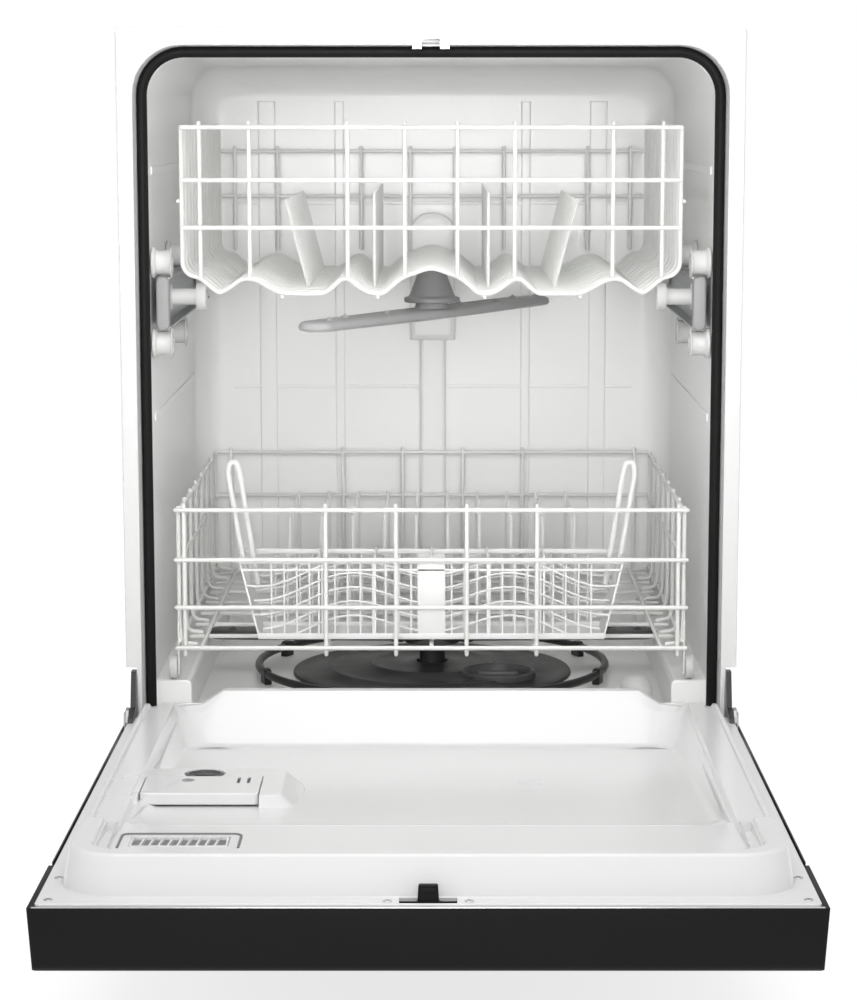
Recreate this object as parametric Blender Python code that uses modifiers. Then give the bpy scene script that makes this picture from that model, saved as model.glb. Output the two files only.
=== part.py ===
"""Built-in dishwasher, 24 inch class, standing with its door open and its racks in.

Metres, +Z up, +Y into the tub, origin on the floor under the middle of the overall box.
Sizes are measured from the plane of the tub's front flange, and one empty carries that
plane to its place, so that the origin stays in the middle.
"""
import math

import bmesh
import bpy
from mathutils import Matrix, Vector

# overall sizes
BODY_WIDTH = 0.603          # across the tub's front flange
BODY_HEIGHT = 0.867         # floor to the top of the flange
BODY_DEPTH = 0.567          # front flange to the rear of the base
CONSOLE_WIDTH = 0.606
DOOR_THICKNESS = 0.0535
GAP = 0.0004                # between pieces that touch
RUN = 0.0015                # between pieces that move past each other

# tub
FLANGE_SIDE = 0.016
FLANGE_TOP = 0.0176
FLANGE_SHEET = 0.003
FLANGE_NOTCH_TOP = 0.245
FLANGE_NOTCH_STEP = 0.0105
MOUTH_DEPTH = 0.037
MOUTH_RADIUS = 0.050
SEAL_WIDTH = 0.0105
SEAL_THICKNESS = 0.0065
TUB_WALL = 0.003
TUB_BACK_SPACE = 0.022      # tub's back wall to the rear of the base
TUB_FLOOR = 0.188
TUB_CORNER = 0.035
LEDGE_WIDTH = 0.035
LEDGE_TOP = 0.2247

# door, lying open; its hinge line is a little in front of the flange
HINGE_Y = -0.005
HINGE_Z = 0.193
DOOR_TOP_DROP = 0.004       # closed door's top edge below the flange's top
DOOR_FACE_GAP = 0.001       # closed door to the flange
DOOR_TAIL = 0.065           # panel that passes below the hinge line
CONSOLE_HEIGHT = 0.124
LINER_SHEET = 0.0025
LINER_RISE = 0.030
LINER_CORNER = 0.040
TRACK_DROP = 0.008
PANEL_SHEET = 0.001
CONSOLE_WALL = 0.003

# dispenser and vent in the door
DISPENSER_X = -0.1936
DISPENSER_FROM_TOP = 0.2805
LID_SIZE = (0.0998, 0.063)
LID_THICKNESS = 0.0097
VENT_X = -0.1945
VENT_FROM_TOP = 0.086
VENT_SIZE = (0.073, 0.026)
VENT_SLOTS = 10

# racks
WIRE = 0.0022               # wire radius
UPPER_FRONT = 0.0375        # racks, rails and rollers start behind the closed door's liner
UPPER_TOP_DROP = 0.0667     # upper rack's top wire below the tub's ceiling
UPPER_SIDE_CLEAR = 0.031
UPPER_WIRES = 10
UPPER_TRAVEL = 0.30
LOWER_FRONT = 0.036
LOWER_TOP = 0.397
LOWER_FLOOR = 0.256
LOWER_SIDE_CLEAR = 0.023
LOWER_TRAVEL = 0.46
REAR_CLEAR = 0.023          # racks to the tub's back wall
TINE_TOP = 0.362
TINE_COLUMNS = 10
TINE_PITCH = 0.0337
TINE_ROWS = 4

# rails and rollers
RAIL_LENGTH = 0.475
RAIL_HEIGHT = 0.050
RAIL_WIDTH = 0.012
RAIL_SHEET = 0.0016
RAIL_DROP = 0.171           # rail's middle below the upper rack's top wire
ROLLER_RADIUS = 0.012
ROLLER_FLANGE = 0.015
ROLLER_FRONT = 0.049
ROLLER_SPACING = 0.152
ROLLER_REACH = 0.0395       # rail's middle to a roller's axle
WHEEL_RADIUS = 0.013
LOWER_WHEEL_RADIUS = 0.012
LOWER_WHEEL_WIDTH = 0.008

# wash system
ARM_Y = 0.265
LOWER_ARM_Z = 0.226
ARM_THICKNESS = 0.010
ARM_CLEAR = 0.030           # spray arm tips to the tub's sides
STRIKE_HALF = 0.018
STRIKE_RISE = 0.0115        # strike plate above the mouth's edge
HEATER_X = 0.017            # heater ring's middle
HEATER_RADIUS = 0.181
HEATER_ROD = 0.004
HEATER_Z = 0.199
DOME_RADIUS = 0.150
FILTER_RADIUS = 0.040
FILTER_OFFSET = (0.070, -0.050)
POST_RADIUS = 0.014
FLOAT_PLACE = (0.207, 0.070)
FLOAT_RADIUS = 0.017

# base
SIDE_SHEET = 0.0015
SIDE_TOP = 0.190
BASE_BOTTOM = 0.020
BAR = (0.030, 0.020)
LEG_RADIUS = 0.005
FOOT_RADIUS = 0.014
LEG_HEIGHT = 0.055
TOE_TOP = 0.104
TOE_SET_BACK = 0.012
PIN_RADIUS = 0.004

SIDES = 16                  # facets round a wheel or a post

# places that follow from the sizes above
HALF = BODY_WIDTH / 2
MOUTH_HALF = HALF - FLANGE_SIDE
MOUTH_TOP = BODY_HEIGHT - FLANGE_TOP
TUB_HALF = MOUTH_HALF - SEAL_WIDTH
TUB_TOP = MOUTH_TOP - SEAL_WIDTH
TUB_BACK = BODY_DEPTH - TUB_BACK_SPACE
DOOR_HALF = HALF - 0.0015
DOOR_END = HINGE_Y - (BODY_HEIGHT - DOOR_TOP_DROP - HINGE_Z)
DOOR_PLANE = HINGE_Z - DOOR_FACE_GAP - HINGE_Y
DOOR_SKIN = DOOR_PLANE - DOOR_THICKNESS
CONSOLE_BACK = DOOR_END + CONSOLE_HEIGHT
RIM_TOP = DOOR_PLANE + LINER_RISE
TRACK_TOP = RIM_TOP - TRACK_DROP
UPPER_TOP = TUB_TOP - UPPER_TOP_DROP
UPPER_HALF = TUB_HALF - UPPER_SIDE_CLEAR
RACK_BACK = TUB_BACK - REAR_CLEAR
LOWER_HALF = TUB_HALF - LOWER_SIDE_CLEAR
RAIL_Z = UPPER_TOP - RAIL_DROP
RAIL_OUT = TUB_HALF - 0.006
RAIL_FRONT = 0.0465
FEED_Z = RAIL_Z + 0.010
ARM_REACH = min(TUB_HALF - ARM_CLEAR, ARM_Y - 0.020, TUB_BACK - ARM_Y - 0.035)
SHIFT = (-DOOR_END - BODY_DEPTH) / 2

COLOURS = {
    "tub_plastic": ((0.80, 0.80, 0.79), 0.35, 0.0),
    "door_white": ((0.84, 0.84, 0.84), 0.30, 0.0),
    "rack_vinyl": ((0.82, 0.82, 0.81), 0.35, 0.0),
    "roller_plastic": ((0.72, 0.72, 0.71), 0.45, 0.0),
    "grey_plastic": ((0.36, 0.36, 0.36), 0.45, 0.0),
    "dark_plastic": ((0.05, 0.05, 0.05), 0.45, 0.0),
    "black_console": ((0.016, 0.016, 0.017), 0.35, 0.0),
    "seal_rubber": ((0.012, 0.012, 0.012), 0.60, 0.0),
    "painted_steel": ((0.03, 0.03, 0.032), 0.40, 0.0),
    "bright_steel": ((0.62, 0.62, 0.62), 0.25, 1.0),
    "galvanised": ((0.45, 0.46, 0.47), 0.45, 1.0),
}

parts = None
cutters = None
bodies = {}


def start_scene():
    """Empty the scene and make the two collections."""
    global parts, cutters
    for obj in list(bpy.data.objects):
        bpy.data.objects.remove(obj, do_unlink=True)
    parts = bpy.data.collections.new("built_in_dishwasher")
    cutters = bpy.data.collections.new("cutters")
    for group in (parts, cutters):
        bpy.context.scene.collection.children.link(group)


def body(name, place):
    """An empty on a moving body's axis; its pieces keep their own coordinates."""
    empty = bpy.data.objects.new(name + "_axis", None)
    empty.empty_display_size = 0.03
    empty.location = place
    parts.objects.link(empty)
    if "root" in bodies:
        empty.parent = bodies["root"]
    bodies[name] = empty


def material(slot):
    """The Principled material of a slot, made once."""
    found = bpy.data.materials.get(slot)
    if found:
        return found
    colour, rough, metal = COLOURS[slot]
    made = bpy.data.materials.new(slot)
    made.use_nodes = True
    shader = made.node_tree.nodes["Principled BSDF"]
    shader.inputs["Base Color"].default_value = (*colour, 1.0)
    shader.inputs["Roughness"].default_value = rough
    shader.inputs["Metallic"].default_value = metal
    made.diffuse_color = (*colour, 1.0)
    return made


def finish(obj, slot, on="root", smooth=False):
    """Give a piece its material and its body; a slot of None makes it a cutter."""
    if slot is None:
        cutters.objects.link(obj)
        obj.hide_render = True
        obj.display_type = "WIRE"
    else:
        parts.objects.link(obj)
        if obj.data.materials:
            obj.data.materials[0] = material(slot)
        else:
            obj.data.materials.append(material(slot))
    carrier = bodies[on]
    obj.parent = carrier
    if on != "root":
        obj.matrix_parent_inverse = Matrix.Translation(-carrier.location)
    if smooth:
        obj.data.shade_smooth()
        obj.data.set_sharp_from_angle(angle=math.radians(40))
    return obj


def mesh_object(name, bm):
    mesh = bpy.data.meshes.new(name)
    bm.to_mesh(mesh)
    bm.free()
    return bpy.data.objects.new(name, mesh)


def box_mesh(low, high):
    """A bmesh cuboid between two corners."""
    bm = bmesh.new()
    bmesh.ops.create_cube(bm, size=1.0)
    low, high = Vector(low), Vector(high)
    for v in bm.verts:
        v.co = Vector((low[k] + (v.co[k] + 0.5) * (high[k] - low[k]) for k in range(3)))
    return bm


def block(name, low, high, slot=None, on="root", rounds=(), segments=4):
    """A cuboid; rounds lists (axis, radius, test) for edges that run along an axis."""
    bm = box_mesh(low, high)
    for axis, radius, test in rounds:
        chosen = []
        for edge in bm.edges:
            a, b = (v.co for v in edge.verts)
            along = abs((b - a)[axis]) > 0.9 * (b - a).length
            if along and test((a + b) / 2):
                chosen.append(edge)
        bmesh.ops.bevel(
            bm, geom=chosen, offset=radius, segments=segments, profile=0.5, affect="EDGES"
        )
    return finish(mesh_object(name, bm), slot, on)


def boxes(name, pairs, slot=None, on="root"):
    """Several cuboids that don't meet, in one object, for one Boolean."""
    bm = bmesh.new()
    for low, high in pairs:
        one = box_mesh(low, high)
        temporary = bpy.data.meshes.new("box")
        one.to_mesh(temporary)
        one.free()
        bm.from_mesh(temporary)
        bpy.data.meshes.remove(temporary)
    return finish(mesh_object(name, bm), slot, on)


def turned(name, profile, place, axis="Z", slot=None, on="root", steps=SIDES, ring=False):
    """A profile of (radius, height) from top to bottom, spun about its own axis."""
    bm = bmesh.new()
    points = [bm.verts.new((r, 0, h)) for r, h in profile]
    ends = points[1:] + points[:1] if ring else points[1:]
    for a, b in zip(points, ends):
        bm.edges.new((a, b))
    obj = mesh_object(name, bm)
    spin = obj.modifiers.new("spin", "SCREW")
    spin.steps = spin.render_steps = steps
    spin.use_merge_vertices = True
    spin.merge_threshold = 0.00001
    spin.use_smooth_shade = False
    obj.location = place
    if axis == "X":
        obj.rotation_euler = (0, math.pi / 2, 0)
    if axis == "Y":
        obj.rotation_euler = (math.pi / 2, 0, 0)
    return finish(obj, slot, on)


def rod(name, radius, low, high, place, axis="Z", slot=None, on="root", steps=SIDES):
    """A plain round bar along an axis through a place."""
    outline = [(0, high), (radius, high), (radius, low), (0, low)]
    return turned(name, outline, place, axis, slot, on, steps)


def wires(name, paths, radius, slot=None, on="root", roundness=0):
    """Bent wires as one mesh; each path is a list of points."""
    curve = bpy.data.curves.new(name, "CURVE")
    curve.dimensions = "3D"
    curve.bevel_depth = radius
    curve.bevel_resolution = roundness
    curve.use_fill_caps = True
    for path in paths:
        spline = curve.splines.new("POLY")
        spline.points.add(len(path) - 1)
        for point, place in zip(spline.points, path):
            point.co = (*place, 1)
    return as_mesh(bpy.data.objects.new(name + "_line", curve), name, slot, on)


def as_mesh(line, name, slot, on):
    """Turn a curve object into a welded mesh object, and drop the curve."""
    bpy.context.scene.collection.objects.link(line)
    graph = bpy.context.evaluated_depsgraph_get()
    mesh = bpy.data.meshes.new_from_object(line.evaluated_get(graph))
    mesh.name = name
    bm = bmesh.new()
    bm.from_mesh(mesh)
    bmesh.ops.remove_doubles(bm, verts=bm.verts, dist=0.00002)
    bmesh.ops.recalc_face_normals(bm, faces=bm.faces)
    bm.to_mesh(mesh)
    bm.free()
    obj = bpy.data.objects.new(name, mesh)
    obj.matrix_world = line.matrix_world.copy()
    bpy.data.objects.remove(line)
    return finish(obj, slot, on)


def outline(name, points, low, high, plane="XZ", slot=None, on="root"):
    """A flat outline of points, given thickness from low to high across its plane."""
    curve = bpy.data.curves.new(name, "CURVE")
    curve.dimensions = "2D"
    curve.fill_mode = "BOTH"
    curve.extrude = (high - low) / 2
    spline = curve.splines.new("POLY")
    spline.points.add(len(points) - 1)
    for point, (a, b) in zip(spline.points, points):
        point.co = (a, b, 0, 1)
    spline.use_cyclic_u = True
    line = bpy.data.objects.new(name + "_line", curve)
    middle = (low + high) / 2
    turns = {
        "XZ": Matrix.Translation((0, middle, 0)) @ Matrix.Rotation(math.pi / 2, 4, "X"),
        "YZ": Matrix.Translation((middle, 0, 0))
        @ Matrix.Rotation(math.pi / 2, 4, "Z")
        @ Matrix.Rotation(math.pi / 2, 4, "X"),
        "XY": Matrix.Translation((0, 0, middle)),
    }
    line.matrix_world = turns[plane]
    obj = as_mesh(line, name, slot, on)
    obj.data.transform(turns[plane])
    obj.matrix_basis = Matrix.Identity(4)
    return obj


def combine(obj, tool, operation):
    """One live Boolean on a piece."""
    step = obj.modifiers.new(tool.name, "BOOLEAN")
    step.operation = operation
    step.object = tool
    step.solver = "EXACT"
    return obj


def cut(obj, *tools):
    for tool in tools:
        combine(obj, tool, "DIFFERENCE")
    return obj


def fuse(obj, *tools):
    for tool in tools:
        combine(obj, tool, "UNION")
    return obj


def arc(centre, radius, start, end, steps):
    """Points on an arc, in degrees, both ends included."""
    found = []
    for k in range(steps + 1):
        angle = math.radians(start + (end - start) * k / steps)
        found.append(
            (centre[0] + radius * math.cos(angle), centre[1] + radius * math.sin(angle))
        )
    return found


def arch(half, top, bottom, radius, steps=5):
    """The outline of a doorway shape: straight sides, round upper corners."""
    right = arc((half - radius, top - radius), radius, 0, 90, steps)
    left = arc((radius - half, top - radius), radius, 90, 180, steps)
    return [(half, bottom)] + right + left + [(-half, bottom)]


def build_tub():
    """Tub moulding, divided into its front, floor, sides and back with the roof."""
    build_tub_front()
    build_tub_floor()
    wall = TUB_HALF + TUB_WALL
    start = MOUTH_DEPTH + TUB_WALL + GAP
    shell = arch(wall, TUB_TOP + TUB_WALL, TUB_FLOOR - TUB_WALL, MOUTH_RADIUS)
    tub = outline("tub_back", shell, start, TUB_BACK + TUB_WALL, slot="tub_plastic")
    bend = MOUTH_RADIUS - TUB_WALL
    inside = block(
        "tub_inside",
        (-TUB_HALF, start - 0.05, TUB_FLOOR - 0.05),
        (TUB_HALF, TUB_BACK, TUB_TOP),
        rounds=(
            (1, bend, lambda p: p.z > TUB_FLOOR + 0.1),
            (2, TUB_CORNER, lambda p: p.y > MOUTH_DEPTH + 0.1),
        ),
    )
    cut(tub, inside)
    cut(tub, block("under_tub", (-1, -1, 0), (1, TUB_BACK - TUB_CORNER, TUB_FLOOR + GAP)))
    side_top = TUB_TOP - bend
    for side, sign in (("left", -1), ("right", 1)):
        span = sorted((sign * (TUB_HALF - 0.01), sign * (wall + 0.01)))
        room = block(
            f"room_{side}",
            (span[0], start - 0.01, TUB_FLOOR - 0.05),
            (span[1], TUB_BACK - TUB_CORNER, side_top + GAP),
        )
        cut(tub, room)
        span = sorted((sign * TUB_HALF, sign * wall))
        block(
            f"tub_side_{side}",
            (span[0], start, TUB_FLOOR + GAP),
            (span[1], TUB_BACK - TUB_CORNER - GAP, side_top),
            "tub_plastic",
        )


def build_tub_front():
    """Front of the tub: flange, recessed seat of the seal and sill."""
    notch = HALF - FLANGE_NOTCH_STEP
    low = TUB_FLOOR - TUB_WALL
    tub = block(
        "tub_front", (-HALF, 0, low), (HALF, FLANGE_SHEET, BODY_HEIGHT), "tub_plastic",
        rounds=((1, 0.004, lambda p: p.z > FLANGE_NOTCH_TOP),), segments=2,
    )
    steps = []
    for sign in (-1, 1):
        span = sorted((sign * notch, sign * (HALF + 0.01)))
        steps.append(((span[0], -0.01, low - 0.01), (span[1], 0.02, FLANGE_NOTCH_TOP)))
    cut(tub, boxes("flange_notches", steps))
    seat = MOUTH_DEPTH + TUB_WALL
    collar = arch(MOUTH_HALF + TUB_WALL, MOUTH_TOP + TUB_WALL, low, MOUTH_RADIUS)
    mouth = arch(MOUTH_HALF, MOUTH_TOP, low - 0.01, MOUTH_RADIUS - TUB_WALL)
    throat = arch(TUB_HALF, TUB_TOP, low - 0.01, MOUTH_RADIUS - TUB_WALL)
    fuse(tub, outline("tub_collar", collar, FLANGE_SHEET / 2, seat))
    cut(tub, outline("tub_mouth", mouth, -0.01, MOUTH_DEPTH))
    cut(tub, outline("tub_throat", throat, MOUTH_DEPTH - 0.01, seat + 0.01))
    sill = block(
        "tub_sill",
        (-MOUTH_HALF - 0.001, 0.001, low),
        (MOUTH_HALF + 0.001, seat, TUB_FLOOR - 0.0002),
    )
    fuse(tub, sill)
    hole = block(
        "strike_hole",
        (-STRIKE_HALF, -0.01, MOUTH_TOP - 0.004),
        (STRIKE_HALF, FLANGE_SHEET + 0.013, MOUTH_TOP + STRIKE_RISE),
    )
    cut(tub, hole)


def build_tub_floor():
    """Floor of the tub, with a wheel ledge along each side and holes for sump and float."""
    start = MOUTH_DEPTH + TUB_WALL + GAP
    back = TUB_BACK - TUB_CORNER - GAP
    tub = block(
        "tub_floor",
        (-TUB_HALF - TUB_WALL, start, TUB_FLOOR - TUB_WALL),
        (TUB_HALF + TUB_WALL, back, TUB_FLOOR),
        "tub_plastic",
    )
    rear = block(
        "floor_rear",
        (GAP - TUB_HALF, back - 0.001, TUB_FLOOR - TUB_WALL),
        (TUB_HALF - GAP, TUB_BACK - GAP, TUB_FLOOR),
        rounds=((2, TUB_CORNER - GAP, lambda p: p.y > back + 0.01),),
    )
    fuse(tub, rear)
    for side in (-1, 1):
        span = sorted((side * (TUB_HALF - LEDGE_WIDTH), side * (TUB_HALF - GAP)))
        ledge = block(
            f"tub_ledge_{side}",
            (span[0], start, TUB_FLOOR - 0.001),
            (span[1], back, LEDGE_TOP),
        )
        fuse(tub, ledge)
    hole = DOME_RADIUS * 0.5
    cut(tub, rod("sump_hole", hole, -0.02, 0.02, (0, ARM_Y, TUB_FLOOR), steps=24))
    place = (FLOAT_PLACE[0], FLOAT_PLACE[1], TUB_FLOOR)
    cut(tub, rod("float_hole", 0.006, -0.02, 0.02, place, steps=12))


def build_front_trim():
    """The door seal in its recess and the plate that the latch enters."""
    outer, inner = MOUTH_HALF - GAP, TUB_HALF - 0.0003
    bottom = TUB_FLOOR + 0.010
    top = MOUTH_TOP - GAP
    radius = MOUTH_RADIUS - TUB_WALL - GAP
    edge = arch(outer, top, bottom, radius)
    hollow = arch(inner, TUB_TOP - 0.0003, bottom, radius - SEAL_WIDTH + 0.001)
    front = MOUTH_DEPTH - GAP - SEAL_THICKNESS
    outline("door_seal", edge + hollow[::-1], front, MOUTH_DEPTH - GAP, slot="seal_rubber")
    plate = block(
        "strike_plate",
        (-STRIKE_HALF + GAP, 0.0002, MOUTH_TOP - 0.003),
        (STRIKE_HALF - GAP, 0.0015, MOUTH_TOP + STRIKE_RISE - GAP),
        "bright_steel",
    )
    slot = block(
        "strike_slot", (-0.009, -0.01, MOUTH_TOP - 0.01), (0.009, 0.01, MOUTH_TOP + 0.0065),
    )
    cut(plate, slot)


def build_base():
    """Base frame with its side sheets, legs and hinge pins, and the toe panel."""
    outer = HALF + 0.0008
    back = BODY_DEPTH
    side = [(-0.022, BASE_BOTTOM), (back, BASE_BOTTOM), (back, SIDE_TOP), (0.020, SIDE_TOP)]
    side += [(HINGE_Y + 0.015, HINGE_Z + 0.010), (HINGE_Y - 0.015, HINGE_Z + 0.010)]
    side += [(-0.022, HINGE_Z - 0.008)]
    sheet = outer - SIDE_SHEET
    frame = outline("base_frame", side, sheet, outer, "YZ", "galvanised")
    other = outline("base_side", side, -outer, -sheet, "YZ")
    fuse(frame, other)
    legs = leg_places()
    half_bar = BAR[0] / 2
    low_bar = BASE_BOTTOM + 0.001
    for name, y in (("front", legs[0][1]), ("rear", legs[2][1])):
        low = (-outer + SIDE_SHEET / 2, y - half_bar, low_bar)
        high = (outer - SIDE_SHEET / 2, y + half_bar, low_bar + BAR[1])
        fuse(frame, block(f"base_bar_{name}", low, high))
    profile = [(0, LEG_HEIGHT), (LEG_RADIUS, LEG_HEIGHT), (LEG_RADIUS, 0.008)]
    profile += [(FOOT_RADIUS, 0.005), (FOOT_RADIUS, 0), (0, 0)]
    for k, (x, y) in enumerate(legs):
        fuse(frame, turned(f"base_leg_{k}", profile, (x, y, 0), steps=12))
    for name, sign in (("left", -1), ("right", 1)):
        boss = [(0, 0.0006), (0.013, 0.0006), (0.013, -0.0026), (PIN_RADIUS, -0.0026)]
        boss += [(PIN_RADIUS, -0.0135), (0, -0.0135)]
        if sign < 0:
            boss = [(r, -h) for r, h in reversed(boss)]
        place = (sign * sheet, HINGE_Y, HINGE_Z)
        fuse(frame, turned(f"hinge_pin_{name}", boss, place, "X", steps=12))
    block(
        "toe_panel",
        (-sheet + 0.002, TOE_SET_BACK, 0.012),
        (sheet - 0.002, TOE_SET_BACK + 0.0015, TOE_TOP),
        "painted_steel",
        rounds=((1, 0.006, lambda p: True),),
        segments=3,
    )


def leg_places():
    """The four legs' places, front pair first."""
    x = HALF - 0.045
    front, rear = 0.040, BODY_DEPTH - 0.035
    return [(-x, front), (x, front), (-x, rear), (x, rear)]


def build_wash_system():
    """Sump, filter, pumps, valve, heater, rear duct, float and the lower spray arm."""
    centre = (0, ARM_Y, 0)
    hole = DOME_RADIUS * 0.5
    under = TUB_FLOOR - TUB_WALL - GAP
    bowl = [(0, LOWER_ARM_Z - 0.006), (POST_RADIUS, LOWER_ARM_Z - 0.006)]
    bowl += [(POST_RADIUS, under - 0.050), (hole - 0.006, under - 0.050)]
    bowl += [(hole - 0.006, TUB_FLOOR - 0.001), (hole - GAP, TUB_FLOOR - 0.001)]
    bowl += [(hole - GAP, under), (hole + 0.012, under), (hole + 0.012, under - 0.004)]
    bowl += [(hole, under - 0.006), (hole * 0.8, under - 0.062), (0, under - 0.062)]
    turned("sump", bowl, centre, slot="dark_plastic", steps=24)
    top = TUB_FLOOR + GAP
    dome = [(POST_RADIUS + 0.003, top + 0.012), (DOME_RADIUS * 0.55, top + 0.010)]
    dome += [(DOME_RADIUS - 0.008, top + 0.003), (DOME_RADIUS, top)]
    dome += [(POST_RADIUS + 0.003, top)]
    plate = turned("filter_plate", dome, centre, slot="dark_plastic", steps=32, ring=True)
    spot = (FILTER_OFFSET[0], ARM_Y + FILTER_OFFSET[1], top)
    cut(plate, rod("filter_hole", FILTER_RADIUS + 0.0006, -0.01, 0.03, spot, steps=24))
    cup = [(0, 0.003), (FILTER_RADIUS - 0.004, 0.003), (FILTER_RADIUS - 0.004, 0.012)]
    cup += [(FILTER_RADIUS, 0.012), (FILTER_RADIUS, 0), (0, 0)]
    turned("filter_cup", cup, spot, slot="dark_plastic", steps=24)
    block_z = under - 0.062 - GAP
    motor = [(0, block_z), (0.045, block_z), (0.045, block_z - 0.075), (0, block_z - 0.075)]
    turned("wash_motor", motor, centre, slot="galvanised", steps=20)
    pump = [(0, 0.035), (0.026, 0.035), (0.026, -0.035), (0, -0.035)]
    turned("drain_pump", pump, (0.125, ARM_Y, 0.085), "X", "dark_plastic", steps=SIDES)
    valve = block(
        "inlet_valve",
        (-0.200, 0.110, 0.050),
        (-0.150, 0.160, 0.095),
        "dark_plastic",
        rounds=((2, 0.006, lambda p: True),),
        segments=2,
    )
    spout = rod("valve_spout", 0.009, -0.030, 0.030, (-0.175, 0.160, 0.072), "Y", steps=12)
    fuse(valve, spout)
    build_heater()
    build_duct()
    stem = [(0, 0.0355), (FLOAT_RADIUS * 0.6, 0.033), (FLOAT_RADIUS, 0.024)]
    stem += [(FLOAT_RADIUS, 0.004), (0.0045, 0.004), (0.0045, -0.016), (0, -0.016)]
    place = (FLOAT_PLACE[0], FLOAT_PLACE[1], TUB_FLOOR)
    turned("float_dome", stem, place, slot="roller_plastic", on="float")
    hub_top = LOWER_ARM_Z + ARM_THICKNESS
    blade = spray_blade("lower_spray_arm", LOWER_ARM_Z, 0, "grey_plastic", "lower_spray_arm")
    hub = [(0, hub_top + 0.006), (0.022, hub_top + 0.004), (0.030, LOWER_ARM_Z - 0.004)]
    hub += [(0, LOWER_ARM_Z - 0.004)]
    fuse(blade, turned("lower_hub", hub, centre, on="lower_spray_arm", steps=SIDES))


def build_heater():
    """Open heating ring on the tub floor with two legs that pass down at the back."""
    loop = []
    for x, y in arc((HEATER_X, ARM_Y), HEATER_RADIUS, -258, 78, 26):
        loop.append((x, y, HEATER_Z))
    ends = []
    for x, y, z in (loop[0], loop[-1]):
        ends.append((x, y, TUB_FLOOR + GAP))
    path = [ends[0]] + loop + [ends[1]]
    wires("heating_element", [path], HEATER_ROD, "dark_plastic")


def build_duct():
    """Water duct up the back wall to the upper rack's docking block."""
    back = TUB_BACK - GAP
    duct = block(
        "water_feed_duct",
        (-0.015, back - 0.014, TUB_FLOOR + 0.004),
        (0.015, back, FEED_Z - 0.060),
        "tub_plastic",
    )
    head = block(
        "duct_head",
        (-0.026, back - 0.020, FEED_Z - 0.084),
        (0.026, back - 0.0002, FEED_Z + 0.062),
        rounds=((1, 0.018, lambda p: p.z > FEED_Z),),
    )
    fuse(duct, head)


def spray_blade(name, low, angle, slot, on):
    """A long flat arm with round ends, turned about its middle."""
    radius = 0.019
    points = arc((ARM_REACH - radius, 0), radius, -90, 90, 5)
    points += [(0, 0.026)]
    points += arc((radius - ARM_REACH, 0), radius, 90, 270, 5)
    points += [(0, -0.026)]
    blade = outline(name, points, low, low + ARM_THICKNESS, "XY", slot, on)
    blade.location = (0, ARM_Y, 0)
    blade.rotation_euler = (0, 0, math.radians(angle))
    return blade


def wave(fraction):
    """Upper rack floor heights above its valleys, at a share of the half width."""
    stations = (
        (0.0, 0.026), (0.10, 0.015), (0.145, 0.0135), (0.19, 0.0), (0.245, 0.0), (0.32, 0.0145),
        (0.365, 0.0145), (0.42, 0.0), (0.60, 0.0), (0.71, 0.0145), (0.765, 0.0145),
        (0.853, 0.0), (0.92, 0.0155), (1.0, 0.0175),
    )
    for (a, low), (b, high) in zip(stations, stations[1:]):
        if a <= fraction <= b:
            return low + (high - low) * (fraction - a) / (b - a)
    return 0.0175


WAVE_STOPS = (0.0, 0.145, 0.21, 0.33, 0.42, 0.60, 0.73, 0.853, 0.93)


def build_upper_rack():
    """Upper rack: wavy wire mat with its fins, end grids, feed tube, arm and wheels."""
    valley = RAIL_Z + 0.0095
    half = UPPER_HALF
    line = []
    for stop in WAVE_STOPS:
        line.append((stop * half, valley + wave(stop)))
    line += [(half - 0.006, valley + 0.018), (half, valley + 0.026), (half, UPPER_TOP)]
    profile = [(-x, z) for x, z in line[:0:-1]] + line
    first = UPPER_FRONT + 2 * WIRE + GAP + 0.001
    last = RACK_BACK - 2 * WIRE - GAP - 0.001
    ribs = []
    for k in range(UPPER_WIRES):
        y = first + 0.002 + (last - first - 0.004) * k / (UPPER_WIRES - 1)
        ribs.append([(x, y, z) for x, z in profile])
    basket = wires("upper_rack_basket", ribs, WIRE, "rack_vinyl", "upper_rack")
    stringers = []
    for stop in (-0.60, 0.60):
        z = valley + wave(abs(stop)) - 1.5 * WIRE
        stringers.append([(stop * half, first, z), (stop * half, last, z)])
    for side in (-1, 1):
        x = side * (half + 1.5 * WIRE)
        z = valley + 0.090
        stringers.append([(x, first, z), (x, last, z)])
    fuse(basket, wires("upper_stringers", stringers, WIRE, on="upper_rack"))
    fins = []
    for base, top, height in ((0.505, 0.60, 0.088), (0.235, 0.235, 0.096)):
        for side in (-1, 1):
            fins.append(fin(side * base * half, side * top * half, valley, height))
    for number, shape in enumerate(fins):
        tines = outline(f"fin_{number}", shape, first + 0.060, last - 0.060, on="upper_rack")
        fuse(basket, tines)
    build_grid(
        "upper_rack_front", UPPER_FRONT, (UPPER_TOP, UPPER_TOP - 0.051, UPPER_TOP - 0.097),
        (0.106, 0.337, 0.732, 0.931), half, valley + 0.018, "upper_rack",
    )
    build_grid(
        "upper_rack_rear", RACK_BACK, (UPPER_TOP - 0.029, UPPER_TOP - 0.080),
        (0.106, 0.341, 0.740, 0.943), half - 0.004, valley + 0.022, "upper_rack",
    )
    build_feed()
    for name, y in (("front", RAIL_FRONT + 0.030), ("rear", RAIL_FRONT + 0.400)):
        for side, sign in (("left", -1), ("right", 1)):
            rack_wheel(f"upper_wheel_{name}_{side}", y, sign)


def fin(base, top, valley, height):
    """Section of a row of cup tines, leaning from its foot to its tip."""
    thick = 0.0012
    foot, tip = valley - 0.001, valley + height
    return [(base - thick, foot), (base + thick, foot), (top + thick, tip), (top - thick, tip)]


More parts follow.
